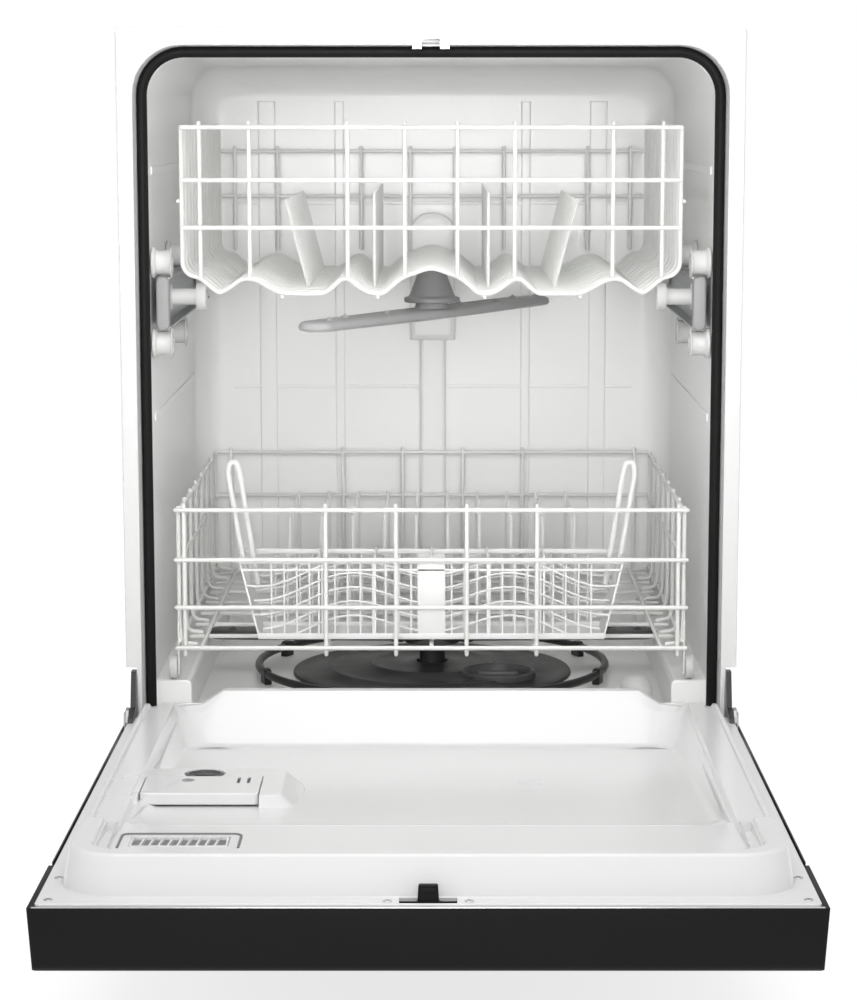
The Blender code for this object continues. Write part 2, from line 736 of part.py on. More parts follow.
def build_grid(name, y, levels, stations, half, low, on):
    """A flat end of a rack: level wires, and upright wires behind them."""
    level = [[(-half, y, z), (half, y, z)] for z in levels]
    upright = []
    for share in stations:
        for side in (-1, 1):
            x = side * share * half
            upright.append([(x, y, low), (x, y, levels[0] + 0.004)])
    grid = wires(name, level, WIRE, "rack_vinyl", on)
    fuse(grid, wires(name + "_uprights", upright, WIRE * 0.96, on=on))
    return grid


def build_feed():
    """The tube that carries water under the upper rack, and the arm that it feeds."""
    hub = (0, ARM_Y, 0)
    z = FEED_Z
    reach = TUB_BACK - 0.022 - GAP - ARM_Y
    tube = rod("upper_feed_tube", 0.010, -reach, 0, (0, ARM_Y, z), "Y",
               "grey_plastic", "upper_rack", 12)
    cone = [(0, z + 0.013), (0.014, z + 0.013), (0.024, z - 0.016), (0.0295, z - 0.018)]
    cone += [(0.0295, z - 0.023), (0, z - 0.023)]
    fuse(tube, turned("feed_cone", cone, hub, on="upper_rack", steps=20))
    low = z - 0.023 - GAP - 0.016
    blade = spray_blade("upper_spray_arm", low, 60, "grey_plastic", "upper_spray_arm")
    neck = [(0, low + 0.016), (0.017, low + 0.016), (0.020, low + 0.001), (0, low + 0.001)]
    fuse(blade, turned("upper_hub", neck, hub, on="upper_spray_arm", steps=SIDES))


def rack_wheel(name, y, sign):
    """Upper rack wheel: a tyre in the rail, a stub axle and an inner disc."""
    tip = RAIL_OUT - RAIL_SHEET - 0.0015
    tyre = RAIL_OUT - RAIL_WIDTH + 0.0007
    inner = tyre - 0.0345
    profile = [(0, tip), (WHEEL_RADIUS, tip), (WHEEL_RADIUS, tyre), (0.0085, tyre)]
    profile += [(0.0085, inner + 0.010), (0.0135, inner + 0.010), (0.0135, inner), (0, inner)]
    if sign < 0:
        profile = [(r, -x) for r, x in reversed(profile)]
    place = (0, y, RAIL_Z + 0.0045)
    turned(name, profile, place, "X", "roller_plastic", name, 12)


def build_rails():
    """Two rails for the upper rack, their front caps and the eight tub rollers."""
    low, high = RAIL_Z - RAIL_HEIGHT / 2, RAIL_Z + RAIL_HEIGHT / 2
    for side, sign in (("left", -1), ("right", 1)):
        on = f"rail_{side}"
        out, inner = RAIL_OUT, RAIL_OUT - RAIL_WIDTH
        shape = [(out, low), (out, high), (inner, high), (inner, high - RAIL_SHEET)]
        shape += [(out - RAIL_SHEET, high - RAIL_SHEET), (out - RAIL_SHEET, low + RAIL_SHEET)]
        shape += [(inner, low + RAIL_SHEET), (inner, low)]
        shape = [(sign * x, z) for x, z in shape]
        back = RAIL_FRONT + RAIL_LENGTH
        outline(f"rail_{side}", shape, RAIL_FRONT, back, slot="galvanised", on=on)
        middle = (out + inner) / 2
        span = sorted((sign * (middle - 0.0065), sign * (middle + 0.0065)))
        block(
            f"rail_cap_{side}",
            (span[0], RAIL_FRONT - GAP - 0.012, RAIL_Z - 0.0262),
            (span[1], RAIL_FRONT - GAP, RAIL_Z + 0.0262),
            "grey_plastic", on, rounds=((1, 0.005, lambda p: True),), segments=3,
        )
    profile = [(0, 0), (ROLLER_FLANGE, 0), (ROLLER_FLANGE, -0.0045)]
    profile += [(ROLLER_RADIUS, -0.0045), (ROLLER_RADIUS, -0.0185), (ROLLER_FLANGE, -0.0185)]
    profile += [(ROLLER_FLANGE, -0.0200), (0, -0.0200)]
    for place, y in (("front", ROLLER_FRONT), ("rear", ROLLER_FRONT + ROLLER_SPACING)):
        for level, lift in (("upper", ROLLER_REACH), ("lower", -ROLLER_REACH)):
            for side, sign in (("left", -1), ("right", 1)):
                name = f"tub_roller_{place}_{level}_{side}"
                shape = profile if sign > 0 else [(r, -x) for r, x in reversed(profile)]
                spot = (sign * (TUB_HALF - GAP), y, RAIL_Z + lift)
                turned(name, shape, spot, "X", "roller_plastic", name, 12)


def build_lower_rack():
    """Lower rack: floor mat with plate tines, four wire sides, wheels and basket."""
    half = LOWER_HALF
    first, last = LOWER_FRONT + 2 * WIRE + 0.001, RACK_BACK - 2 * WIRE - 0.001
    inset = half - 2 * WIRE - 0.001
    z = LOWER_FLOOR
    rows = [first + 0.004 + (last - first - 0.008) * k / 7 for k in range(8)]
    cross = [[(-inset, y, z), (inset, y, z)] for y in rows]
    floor = wires("lower_rack_floor", cross, WIRE, "rack_vinyl", "lower_rack")
    runs = []
    above = z + 1.5 * WIRE
    for share in (-0.93, -0.42, 0.0, 0.42, 0.93):
        runs.append([(share * inset, first, above), (share * inset, last, above)])
    fuse(floor, wires("lower_runs", runs, WIRE, on="lower_rack"))
    tines = []
    for row in range(TINE_ROWS):
        y = rows[3 + row]
        for column in range(TINE_COLUMNS):
            x = (column - (TINE_COLUMNS - 1) / 2) * TINE_PITCH
            tines.append([(x, y + 0.0006, z - 0.0005), (x, y + 0.0006, TINE_TOP)])
    fuse(floor, wires("plate_tines", tines, WIRE * 0.9, on="lower_rack"))
    levels = (LOWER_TOP, LOWER_TOP - 0.050, LOWER_TOP - 0.098, LOWER_TOP - 0.139)
    build_grid(
        "lower_rack_front", LOWER_FRONT, levels, (0.139, 0.414, 0.968), half + 0.002,
        LOWER_FLOOR - 0.005, "lower_rack",
    )
    build_grid(
        "lower_rack_rear", RACK_BACK, (LOWER_TOP, LOWER_TOP - 0.050, LOWER_TOP - 0.139),
        (0.139, 0.414, 0.930), half, LOWER_FLOOR - 0.003, "lower_rack",
    )
    for side, sign in (("left", -1), ("right", 1)):
        build_lower_side(side, sign, rows, first, last, levels)
    wheel_z = lower_axle_height()
    wheel_x = half + 0.0024
    profile = [(0, LOWER_WHEEL_WIDTH), (LOWER_WHEEL_RADIUS, LOWER_WHEEL_WIDTH)]
    profile += [(LOWER_WHEEL_RADIUS, 0), (0, 0)]
    for place, y in lower_axles():
        for side, sign in (("left", -1), ("right", 1)):
            name = f"lower_wheel_{place}_{side}"
            shape = profile if sign > 0 else [(r, -x) for r, x in reversed(profile)]
            turned(name, shape, (sign * wheel_x, y, wheel_z), "X", "roller_plastic", name, 12)
    build_basket()


def lower_axles():
    """Where the lower rack's wheels stand, front and rear."""
    return (("front", ROLLER_FRONT - 0.0015), ("rear", RACK_BACK - 0.040))


def lower_axle_height():
    """Height of the lower rack's axles, so that its wheels just clear the ledges."""
    return LEDGE_TOP + 0.0003 + LOWER_WHEEL_RADIUS


def build_lower_side(side, sign, rows, first, last, levels):
    """A long side of the lower rack with its two wheel brackets."""
    x = sign * LOWER_HALF
    level = []
    for z in (levels[0] - 0.003, levels[1] - 0.003, LOWER_FLOOR + 0.008):
        level.append([(x, first, z), (x, last, z)])
    upright = []
    for y in rows:
        upright.append([(x, y, LOWER_FLOOR + 0.004), (x, y, levels[0] + 0.001)])
    grid = wires(f"lower_rack_{side}", level, WIRE, "rack_vinyl", "lower_rack")
    fuse(grid, wires(f"lower_{side}_uprights", upright, WIRE * 0.96, on="lower_rack"))
    span = sorted((x, sign * (LOWER_HALF + 0.0020)))
    for place, y in lower_axles():
        low = (span[0], y - 0.008, LEDGE_TOP + 0.006)
        high = (span[1], y + 0.008, LOWER_FLOOR + 0.012)
        fuse(grid, block(f"bracket_{side}_{place}", low, high, on="lower_rack"))


def build_basket():
    """Silverware basket: a tapered tray of six cells with a loop handle at each end."""
    low, high = LOWER_FLOOR + 0.0085, LOWER_TOP - 0.051
    near, far = LOWER_FRONT + 0.012, LOWER_FRONT + 0.082
    top_half = LOWER_HALF - 0.058
    taper = 0.020
    on = "silverware_basket"
    tray = block(on, (-top_half, near, low), (top_half, far, high), "rack_vinyl", on)
    for v in tray.data.vertices:
        if v.co.z < (low + high) / 2:
            v.co.x -= math.copysign(taper, v.co.x)
    cells = []
    wall = 0.0022
    inner = top_half - taper - 2 * wall
    for k in range(6):
        left = -inner + 2 * inner * k / 6 + wall / 2
        right = left + 2 * inner / 6 - wall
        cells.append(((left, near + wall, low + wall), (right, far - wall, high + 0.01)))
    cut(tray, boxes("basket_cells", cells, on=on))
    middle = (near + far) / 2
    loops = []
    for sign in (-1, 1):
        foot, tip = top_half - 0.007, top_half + 0.012
        path = [(foot, high - 0.030), (tip - 0.0005, high + 0.085)]
        path += [(tip - 0.003, high + 0.093), (tip - 0.009, high + 0.093)]
        path += [(tip - 0.0125, high + 0.085), (foot - 0.0105, high - 0.030)]
        loops.append([(sign * x, middle, z) for x, z in path])
    fuse(tray, wires("basket_handles", loops, 0.0030, on=on))


def build_door():
    """Door: steel skin, moulded liner, console, hinge arms, latch and button."""
    on = "door"
    skin_top = DOOR_PLANE - 0.0004
    panel = block(
        "door_panel",
        (-DOOR_HALF, CONSOLE_BACK + GAP, DOOR_SKIN),
        (DOOR_HALF, HINGE_Y + DOOR_TAIL, DOOR_SKIN + PANEL_SHEET),
        "painted_steel", on,
    )
    for side, sign in (("left", -1), ("right", 1)):
        span = sorted((sign * DOOR_HALF, sign * (DOOR_HALF - PANEL_SHEET)))
        wall = block(
            f"panel_{side}",
            (span[0], CONSOLE_BACK + GAP, DOOR_SKIN + PANEL_SHEET / 2),
            (span[1], HINGE_Y - 0.040, skin_top),
            on=on,
        )
        fuse(panel, wall)
    build_console(on)
    build_liner(on)
    build_hinge_arms(on)
    build_dispenser(on)
    latch = block(
        "latch_catch", (-0.0065, DOOR_END + 0.009, DOOR_PLANE - 0.010),
        (0.0065, DOOR_END + 0.015, RIM_TOP - 0.0175), "black_console", "latch_catch",
    )
    foot = block(
        "latch_foot", (-0.019, DOOR_END + 0.006, DOOR_PLANE - 0.022),
        (0.019, DOOR_END + 0.024, DOOR_PLANE - 0.009), on="latch_catch",
    )
    fuse(latch, foot)


def build_console(on):
    """Console shell: outer face, front edge and sides, open towards the liner."""
    half = CONSOLE_WIDTH / 2
    taper = 0.0035
    top = DOOR_PLANE - LINER_SHEET - GAP
    console = block(
        "console", (-half, DOOR_END, DOOR_SKIN), (half, CONSOLE_BACK, top), "black_console", on,
    )
    for v in console.data.vertices:
        if v.co.z < (DOOR_SKIN + top) / 2:
            v.co.x -= math.copysign(taper, v.co.x)
    inner = half - taper - CONSOLE_WALL
    hollow = block(
        "console_hollow",
        (-inner, DOOR_END + CONSOLE_WALL, DOOR_SKIN + CONSOLE_WALL),
        (inner, CONSOLE_BACK - CONSOLE_WALL, top + 0.01), on=on,
    )
    cut(console, hollow)
    x, y = 0.200, DOOR_END + 0.060
    hole = (0.012, 0.007)
    cut(
        console,
        block("button_hole", (x - hole[0], y - hole[1], DOOR_SKIN - 0.01),
              (x + hole[0], y + hole[1], DOOR_SKIN + 0.02), on=on),
    )
    block(
        "start_button", (x - hole[0] + RUN / 3, y - hole[1] + RUN / 3, DOOR_SKIN - 0.0008),
        (x + hole[0] - RUN / 3, y + hole[1] - RUN / 3, DOOR_SKIN + 0.006),
        "grey_plastic", "start_button", rounds=((2, 0.003, lambda p: True),), segments=3,
    )


def ring_points(half, near, far, radius, steps=4):
    """A round-cornered rectangle, with extra stops where the side tracks end."""
    stop_a, stop_b = track_stops()
    points = arc((half - radius, far - radius), radius, 0, 90, steps)
    points += arc((radius - half, far - radius), radius, 90, 180, steps)
    points += [(-half, stop_b), (-half, stop_a)]
    points += arc((radius - half, near + radius), radius, 180, 270, steps)
    points += arc((half - radius, near + radius), radius, 270, 360, steps)
    points += [(half, stop_a), (half, stop_b)]
    return points


def track_stops():
    """Where the liner's side tracks end, near the console end."""
    return DOOR_END + 0.175, DOOR_END + 0.190


def build_liner(on):
    """Moulded liner: flat margin, raised rim, side tracks and a sloping basin."""
    stop_a, stop_b = track_stops()
    near, far = DOOR_END + 0.003, HINGE_Y - 0.005
    deep, shallow = RIM_TOP - 0.045, RIM_TOP - 0.007
    low_near = DOOR_END + 0.151

    def rim(x, y):
        if abs(x) > MOUTH_HALF - 0.055 and y > (stop_a + stop_b) / 2:
            return TRACK_TOP if y < far - 0.03 else TRACK_TOP - 0.006
        return RIM_TOP

    def floor(x, y):
        share = (y - low_near) / (far - 0.065 - low_near)
        return shallow + (deep - shallow) * min(max(share, 0.0), 1.0)

    foot = MOUTH_HALF - 0.0025
    rings = (
        (DOOR_HALF - 0.003, near, far, 0.004, lambda x, y: DOOR_PLANE),
        (foot, DOOR_END + 0.020, far - 0.001, LINER_CORNER + 0.004, lambda x, y: DOOR_PLANE),
        (foot - 0.004, DOOR_END + 0.035, far - 0.003, LINER_CORNER, rim),
        (foot - 0.021, DOOR_END + 0.047, far - 0.012, LINER_CORNER - 0.010, rim),
        (foot - 0.023, DOOR_END + 0.049, far - 0.014, LINER_CORNER - 0.012,
         lambda x, y: min(rim(x, y), shallow + 0.004)),
        (foot - 0.030, low_near, far - 0.022, LINER_CORNER - 0.012,
         lambda x, y: min(rim(x, y), shallow + 0.003)),
        (foot - 0.044, low_near + 0.010, far - 0.065, LINER_CORNER - 0.014, floor),
    )
    bm = bmesh.new()
    loops = []
    for half, y_near, y_far, radius, height in rings:
        points = ring_points(half, y_near, y_far, radius)
        loop = [bm.verts.new((x, y, height(x, y))) for x, y in points]
        loops.append(loop)
    for outer, inner in zip(loops, loops[1:]):
        for k in range(len(outer)):
            n = (k + 1) % len(outer)
            bm.faces.new((outer[k], outer[n], inner[n], inner[k]))
    bm.faces.new(loops[-1])
    bmesh.ops.recalc_face_normals(bm, faces=bm.faces)
    if sum((f.normal.z * f.calc_area() for f in bm.faces)) < 0:
        bmesh.ops.reverse_faces(bm, faces=bm.faces)
    bmesh.ops.triangulate(bm, faces=bm.faces)
    liner = finish(mesh_object("door_liner", bm), "door_white", on)
    shell = liner.modifiers.new("sheet", "SOLIDIFY")
    shell.thickness = LINER_SHEET
    shell.offset = -1
    latch_low = (-0.022, DOOR_END + 0.005, DOOR_PLANE - 0.01)
    latch_high = (0.022, DOOR_END + 0.0185, DOOR_PLANE + 0.001)
    holes = [(latch_low, latch_high)]
    for sign in (-1, 1):
        span = sorted((sign * (HALF - FLANGE_NOTCH_STEP - 0.0006), sign * HALF))
        holes.append(((span[0], HINGE_Y - 0.045, 0.1), (span[1], HINGE_Y + 0.01, 0.3)))
    low, high = dispenser_box(GAP)
    holes.append((low, (high[0], high[1], RIM_TOP + 0.02)))
    low, high = vent_box(GAP)
    holes.append((low, (high[0], high[1], RIM_TOP + 0.02)))
    cut(liner, boxes("liner_holes", holes, on=on))


def build_hinge_arms(on):
    """Hinge levers at the door's lower corners, bored for the hinge pins."""
    inner = HALF - FLANGE_NOTCH_STEP + 0.0006
    outer = inner + 0.0050
    y, z = HINGE_Y, HINGE_Z
    shape = [(y - 0.060, z - 0.030), (y + 0.012, z - 0.012), (y + 0.016, z + 0.006)]
    shape += [(y + 0.017, z + 0.048), (y + 0.006, z + 0.048), (y - 0.006, z + 0.014)]
    shape += [(y - 0.030, z + 0.0075), (y - 0.042, z - 0.004), (y - 0.060, z - 0.004)]
    for side, sign in (("left", -1), ("right", 1)):
        span = sorted((sign * inner, sign * outer))
        arm = outline(f"hinge_arm_{side}", shape, span[0], span[1], "YZ", "painted_steel", on)
        bore = rod(f"arm_bore_{side}", PIN_RADIUS + GAP, -0.05, 0.05,
                   (sign * inner, y, z), "X", on=on, steps=12)
        cut(arm, bore)


def dispenser_box(grow=0.0):
    """Corners of the dispenser's housing."""
    y = DOOR_END + DISPENSER_FROM_TOP
    wide, deep = LID_SIZE[0] / 2, LID_SIZE[1] / 2
    low = (DISPENSER_X - wide - 0.008 - grow, y - deep - 0.019 - grow, DOOR_SKIN + 0.014)
    high = (DISPENSER_X + wide + 0.026 + grow, y + deep + 0.023 + grow, lid_bottom() - GAP)
    return low, high


def lid_bottom():
    return RIM_TOP - 0.0145


def vent_box(grow=0.0):
    """Corners of the vent grille."""
    y = DOOR_END + VENT_FROM_TOP
    wide, deep = VENT_SIZE[0] / 2 + 0.002, VENT_SIZE[1] / 2 + 0.002
    low = (VENT_X - wide - grow, y - deep - grow, RIM_TOP - 0.012)
    return low, (VENT_X + wide + grow, y + deep + grow, RIM_TOP - 0.003)


def build_dispenser(on):
    """Detergent dispenser: housing with its cup, hinged lid, and the vent grille."""
    low, high = dispenser_box()
    housing = block(
        "dispenser_housing", low, high, "door_white", on,
        rounds=((2, 0.006, lambda p: True),), segments=3,
    )
    y = DOOR_END + DISPENSER_FROM_TOP
    wide, deep = LID_SIZE[0] / 2, LID_SIZE[1] / 2
    cup = block(
        "detergent_cup", (DISPENSER_X - wide + 0.005, y - deep + 0.005, low[2] + 0.006),
        (DISPENSER_X + wide - 0.005, y + deep - 0.005, high[2] + 0.01), on=on,
    )
    cut(housing, cup)
    bottom = lid_bottom()
    lid = block(
        "dispenser_lid", (DISPENSER_X - wide, y - deep, bottom),
        (DISPENSER_X + wide, y + deep, bottom + LID_THICKNESS), "door_white", "dispenser_lid",
        rounds=((2, 0.003, lambda p: True),), segments=2,
    )
    hollow = block(
        "lid_hollow", (DISPENSER_X - wide + 0.0025, y - deep + 0.0025, bottom - 0.01),
        (DISPENSER_X + wide - 0.0025, y + deep - 0.0025, bottom + LID_THICKNESS - 0.0025),
        on="dispenser_lid",
    )
    cut(lid, hollow)
    low, high = vent_box()
    grille = block("vent_grille", low, high, "dark_plastic", on)
    slots = []
    pitch = VENT_SIZE[0] / VENT_SLOTS
    for k in range(VENT_SLOTS):
        x = VENT_X - VENT_SIZE[0] / 2 + pitch * (k + 0.5)
        slots.append(((x - pitch * 0.32, low[1] + 0.003, low[2] - 0.01),
                      (x + pitch * 0.32, high[1] - 0.003, high[2] + 0.01)))
    cut(grille, boxes("vent_slots", slots, on=on))


def make_bodies():
    """Empties on the axes that the moving bodies turn about or slide along."""
    body("root", (0, SHIFT, 0))
    body("float", (FLOAT_PLACE[0], FLOAT_PLACE[1], TUB_FLOOR))
    body("lower_spray_arm", (0, ARM_Y, LOWER_ARM_Z))
    body("upper_rack", (0, UPPER_FRONT, RAIL_Z))
    body("upper_spray_arm", (0, ARM_Y, FEED_Z))
    body("lower_rack", (0, LOWER_FRONT, LOWER_FLOOR))
    body("silverware_basket", (0, LOWER_FRONT + 0.047, LOWER_FLOOR))
    body("door", (0, HINGE_Y, HINGE_Z))
    lid_y = DOOR_END + DISPENSER_FROM_TOP + LID_SIZE[1] / 2
    body("dispenser_lid", (DISPENSER_X, lid_y, lid_bottom() + 0.0012))
    body("latch_catch", (0, DOOR_END + 0.012, DOOR_PLANE))
    body("start_button", (0.200, DOOR_END + 0.060, DOOR_SKIN))
    for side, sign in (("left", -1), ("right", 1)):
        body(f"rail_{side}", (sign * RAIL_OUT, RAIL_FRONT, RAIL_Z))
        for place, y in (("front", RAIL_FRONT + 0.030), ("rear", RAIL_FRONT + 0.400)):
            body(f"upper_wheel_{place}_{side}", (0, y, RAIL_Z + 0.0045))
        for place, y in lower_axles():
            axle = (sign * LOWER_HALF, y, lower_axle_height())
            body(f"lower_wheel_{place}_{side}", axle)
        for place, y in (("front", ROLLER_FRONT), ("rear", ROLLER_FRONT + ROLLER_SPACING)):
            for level, lift in (("upper", ROLLER_REACH), ("lower", -ROLLER_REACH)):
                body(f"tub_roller_{place}_{level}_{side}", (sign * TUB_HALF, y, RAIL_Z + lift))


start_scene()
make_bodies()
build_tub()
build_front_trim()
build_base()
build_wash_system()
build_rails()
build_upper_rack()
build_lower_rack()
build_door()
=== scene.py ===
import math

import bmesh
import bpy
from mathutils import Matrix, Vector


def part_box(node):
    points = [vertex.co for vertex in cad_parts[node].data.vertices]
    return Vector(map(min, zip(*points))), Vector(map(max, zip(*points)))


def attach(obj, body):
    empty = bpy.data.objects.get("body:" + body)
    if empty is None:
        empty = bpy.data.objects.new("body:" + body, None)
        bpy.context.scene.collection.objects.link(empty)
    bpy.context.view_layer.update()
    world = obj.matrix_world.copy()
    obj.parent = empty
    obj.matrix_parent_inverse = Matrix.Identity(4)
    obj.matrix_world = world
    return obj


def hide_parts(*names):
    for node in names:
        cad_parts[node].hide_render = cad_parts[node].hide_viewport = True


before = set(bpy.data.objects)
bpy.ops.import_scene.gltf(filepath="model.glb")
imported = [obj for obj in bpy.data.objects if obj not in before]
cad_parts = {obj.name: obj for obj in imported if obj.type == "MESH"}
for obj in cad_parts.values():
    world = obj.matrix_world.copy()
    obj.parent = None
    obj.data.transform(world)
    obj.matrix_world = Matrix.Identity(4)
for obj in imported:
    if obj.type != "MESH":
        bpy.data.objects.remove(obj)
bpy.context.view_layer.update()        # meshes of the imported dishwasher, now in world space
print("frame loaded")

# places that everything else is measured from
tubNodes = [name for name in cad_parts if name.startswith("tub_")
            and "roller" not in name]
corners = [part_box(name) for name in tubNodes]
tubLow = Vector([min(low[k] for low, high in corners) for k in range(3)])
tubHigh = Vector([max(high[k] for low, high in corners) for k in range(3)])
linerLow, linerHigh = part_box("door_liner")
consoleLow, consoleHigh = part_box("console")
flangeY = tubLow.y
mouth = {"side": 0.016, "top": 0.0176, "depth": 0.037, "radius": 0.047, "seal": 0.0105}
halfMouth = tubHigh.x - mouth["side"]
topMouth = tubHigh.z - mouth["top"]
halfTub = halfMouth - mouth["seal"]
topTub = topMouth - mouth["seal"]
wireRadius = 0.0022
notchTop = 0.245          # the flange is cut back below this for the hinge arms


class Sock:
    # one shader value; arithmetic on it adds Math nodes
    def __init__(self, tree, link):
        self.tree = tree
        self.link = link

    def maths(self, operation, other, swap=False):
        node = self.tree.nodes.new("ShaderNodeMath")
        node.operation = operation
        pair = (other, self) if swap else (self, other)
        for k, value in enumerate(pair):
            plug(self.tree, node.inputs[k], value)
        return Sock(self.tree, node.outputs[0])

    def __add__(self, other):
        return self.maths("ADD", other)

    def __radd__(self, other):
        return self.maths("ADD", other, True)

    def __mul__(self, other):
        return self.maths("MULTIPLY", other)

    def __rmul__(self, other):
        return self.maths("MULTIPLY", other, True)

    def __rsub__(self, other):
        return self.maths("SUBTRACT", other, True)

    def __sub__(self, other):
        return self.maths("SUBTRACT", other)


def plug(tree, socket, value):
    if isinstance(value, Sock):
        tree.links.new(value.link, socket)
    else:
        socket.default_value = value


class Paint:
    # one node material, built on the Principled shader it starts with
    def __init__(self, name):
        self.material = bpy.data.materials.new(name)
        self.material.use_nodes = True
        self.tree = self.material.node_tree
        self.shader = self.tree.nodes["Principled BSDF"]

    def node(self, kind, output=0, settings=None, **sockets):
        made = self.tree.nodes.new(kind)
        for key, value in (settings or {}).items():
            if key == "stops":
                for stop, (place, shade) in zip(made.color_ramp.elements, value):
                    stop.position = place
                    stop.color = (shade, shade, shade, 1)
            else:
                setattr(made, key, value)
        for key, value in sockets.items():
            plug(self.tree, made.inputs[key.replace("_", " ")], value)
        return Sock(self.tree, made.outputs[output])

    def where(self):
        return self.node("ShaderNodeTexCoord", 3)

    def noise(self, scale, detail=3.0, rough=0.5):
        return self.node("ShaderNodeTexNoise", 0, Vector=self.where(), Scale=scale,
                         Detail=detail, Roughness=rough)

    def tint(self, amount, colour, other):
        mixed = self.tree.nodes.new("ShaderNodeMix")
        mixed.data_type = "RGBA"
        plug(self.tree, mixed.inputs[0], amount)
        mixed.inputs[6].default_value = (*colour, 1)
        mixed.inputs[7].default_value = (*other, 1)
        return Sock(self.tree, mixed.outputs[2])

    def bump(self, height, strength, distance):
        return self.node("ShaderNodeBump", 0, Height=height, Strength=strength,
                         Distance=distance)

    def set(self, **values):
        for key, value in values.items():
            plug(self.tree, self.shader.inputs[key.replace("_", " ")], value)
        return self.material


def mouldedPlastic(name, look):
    # injection-moulded or drawn plastic: faint mottling, slightly uneven gloss, fine skin
    paint = Paint(name)
    colour = look["colour"]
    darker = tuple(c * (1 - look["mottle"]) for c in colour)
    cloud = paint.noise(look["cloud"], 4.0)
    skin = paint.noise(look["grain"], 2.0)
    return paint.set(
        Base_Color=paint.tint(cloud, colour, darker),
        Roughness=look["rough"] + (cloud - 0.5) * look["roughSpread"],
        Normal=paint.bump(skin, look["bump"], 0.0002),
        IOR=look.get("ior", 1.46),
        Coat_Weight=look.get("coat", 0.0),
        Coat_Roughness=0.12,
    )


def flangeShadedPlastic(name, look):
    # the tub's moulding, with its front flange painted a darker copy of the same white: painted
    # shade that holds back the front lamps' light on it
    paint = Paint(name)
    depth = paint.node("ShaderNodeSeparateXYZ", 1, Vector=paint.where())
    # the mask picks the front flange, which gets the darker flange colour as painted shade
    front = depth.maths("LESS_THAN", flangeY + 0.0036)
    cloud = paint.noise(look["cloud"], 4.0)
    return paint.set(
        Base_Color=paint.tint(front, look["colour"], look["flange"]),
        Roughness=look["rough"] + (cloud - 0.5) * look["roughSpread"],
        Normal=paint.bump(paint.noise(look["grain"], 2.0), look["bump"], 0.0002),
        IOR=1.46, Coat_Weight=look["coat"], Coat_Roughness=0.12,
    )


def sheetMetal(name, look):
    # rolled sheet: fine lengthwise streaks in gloss and a little tarnish
    paint = Paint(name)
    stretch = paint.node("ShaderNodeMapping", 0, Vector=paint.where(), Scale=(600, 8, 600))
    streak = paint.node("ShaderNodeTexNoise", 0, Vector=stretch, Scale=1.0, Detail=2.0)
    cloud = paint.noise(14.0, 3.0)
    colour = look["colour"]
    darker = tuple(c * 0.72 for c in colour)
    return paint.set(
        Base_Color=paint.tint(cloud * 0.6 + streak * 0.4, colour, darker),
        Roughness=look["rough"] + (streak - 0.5) * 0.18,
        Metallic=look["metal"],
        Normal=paint.bump(streak, 0.05, 0.0001),
    )


plasticLooks = {
    "tubWhite": {"colour": (0.90, 0.90, 0.89), "mottle": 0.03, "cloud": 6.0, "grain": 900,
                 "rough": 0.30, "roughSpread": 0.10, "bump": 0.03, "coat": 0.15,
                 # flange: a darker copy of this white, painted shade for the lamp-facing front
                 # flange
                 "flange": (0.66, 0.66, 0.655)},
    "doorWhite": {"colour": (0.74, 0.74, 0.74), "mottle": 0.02, "cloud": 5.0, "grain": 900,
                  "rough": 0.26, "roughSpread": 0.08, "bump": 0.02, "coat": 0.25},
    "rackVinyl": {"colour": (0.80, 0.80, 0.78), "mottle": 0.05, "cloud": 60.0,
                  "grain": 500, "rough": 0.32, "roughSpread": 0.12, "bump": 0.05,
                  "coat": 0.2},
    "basketWhite": {"colour": (0.78, 0.78, 0.77), "mottle": 0.04, "cloud": 30.0,
                    "grain": 900, "rough": 0.38, "roughSpread": 0.1, "bump": 0.04},
    "rollerWhite": {"colour": (0.64, 0.64, 0.63), "mottle": 0.05, "cloud": 80.0,
                    "grain": 900, "rough": 0.42, "roughSpread": 0.1, "bump": 0.04},
    "capGrey": {"colour": (0.30, 0.30, 0.30), "mottle": 0.08, "cloud": 70.0,
                "grain": 1200, "rough": 0.45, "roughSpread": 0.12, "bump": 0.08},
    "armGrey": {"colour": (0.42, 0.42, 0.42), "mottle": 0.10, "cloud": 45.0,
                "grain": 1500, "rough": 0.48, "roughSpread": 0.12, "bump": 0.10},
    "hubGrey": {"colour": (0.25, 0.25, 0.25), "mottle": 0.10, "cloud": 60.0,
                "grain": 1200, "rough": 0.42, "roughSpread": 0.12, "bump": 0.10},
    "cellGrey": {"colour": (0.20, 0.20, 0.20), "mottle": 0.10, "cloud": 60.0,
                 "grain": 900, "rough": 0.5, "roughSpread": 0.12, "bump": 0.10},
    "hubDark": {"colour": (0.085, 0.085, 0.085), "mottle": 0.12, "cloud": 60.0,
                "grain": 1200, "rough": 0.42, "roughSpread": 0.12, "bump": 0.10},
    "sumpDark": {"colour": (0.030, 0.030, 0.031), "mottle": 0.2, "cloud": 40.0,
                 "grain": 1000, "rough": 0.38, "roughSpread": 0.16, "bump": 0.10},
    "consoleBlack": {"colour": (0.0095, 0.0095, 0.0100), "mottle": 0.12, "cloud": 18.0,
                     "grain": 2200, "rough": 0.46, "ior": 1.22, "roughSpread": 0.08,
                     "bump": 0.10},
    "sealRubber": {"colour": (0.008, 0.008, 0.008), "ior": 1.28, "mottle": 0.2, "cloud": 50.0,
                   "grain": 1400, "rough": 0.55, "roughSpread": 0.12, "bump": 0.12},
    "enamelBlack": {"colour": (0.018, 0.018, 0.019), "mottle": 0.2, "cloud": 30.0,
                    "grain": 800, "rough": 0.34, "roughSpread": 0.12, "bump": 0.10},
}
metalLooks = {
    "brightSteel": {"colour": (0.70, 0.70, 0.70), "rough": 0.20, "metal": 1.0},
    "zincSheet": {"colour": (0.48, 0.49, 0.50), "rough": 0.42, "metal": 1.0},
}
paints = {name: mouldedPlastic(name, look) for name, look in plasticLooks.items()}
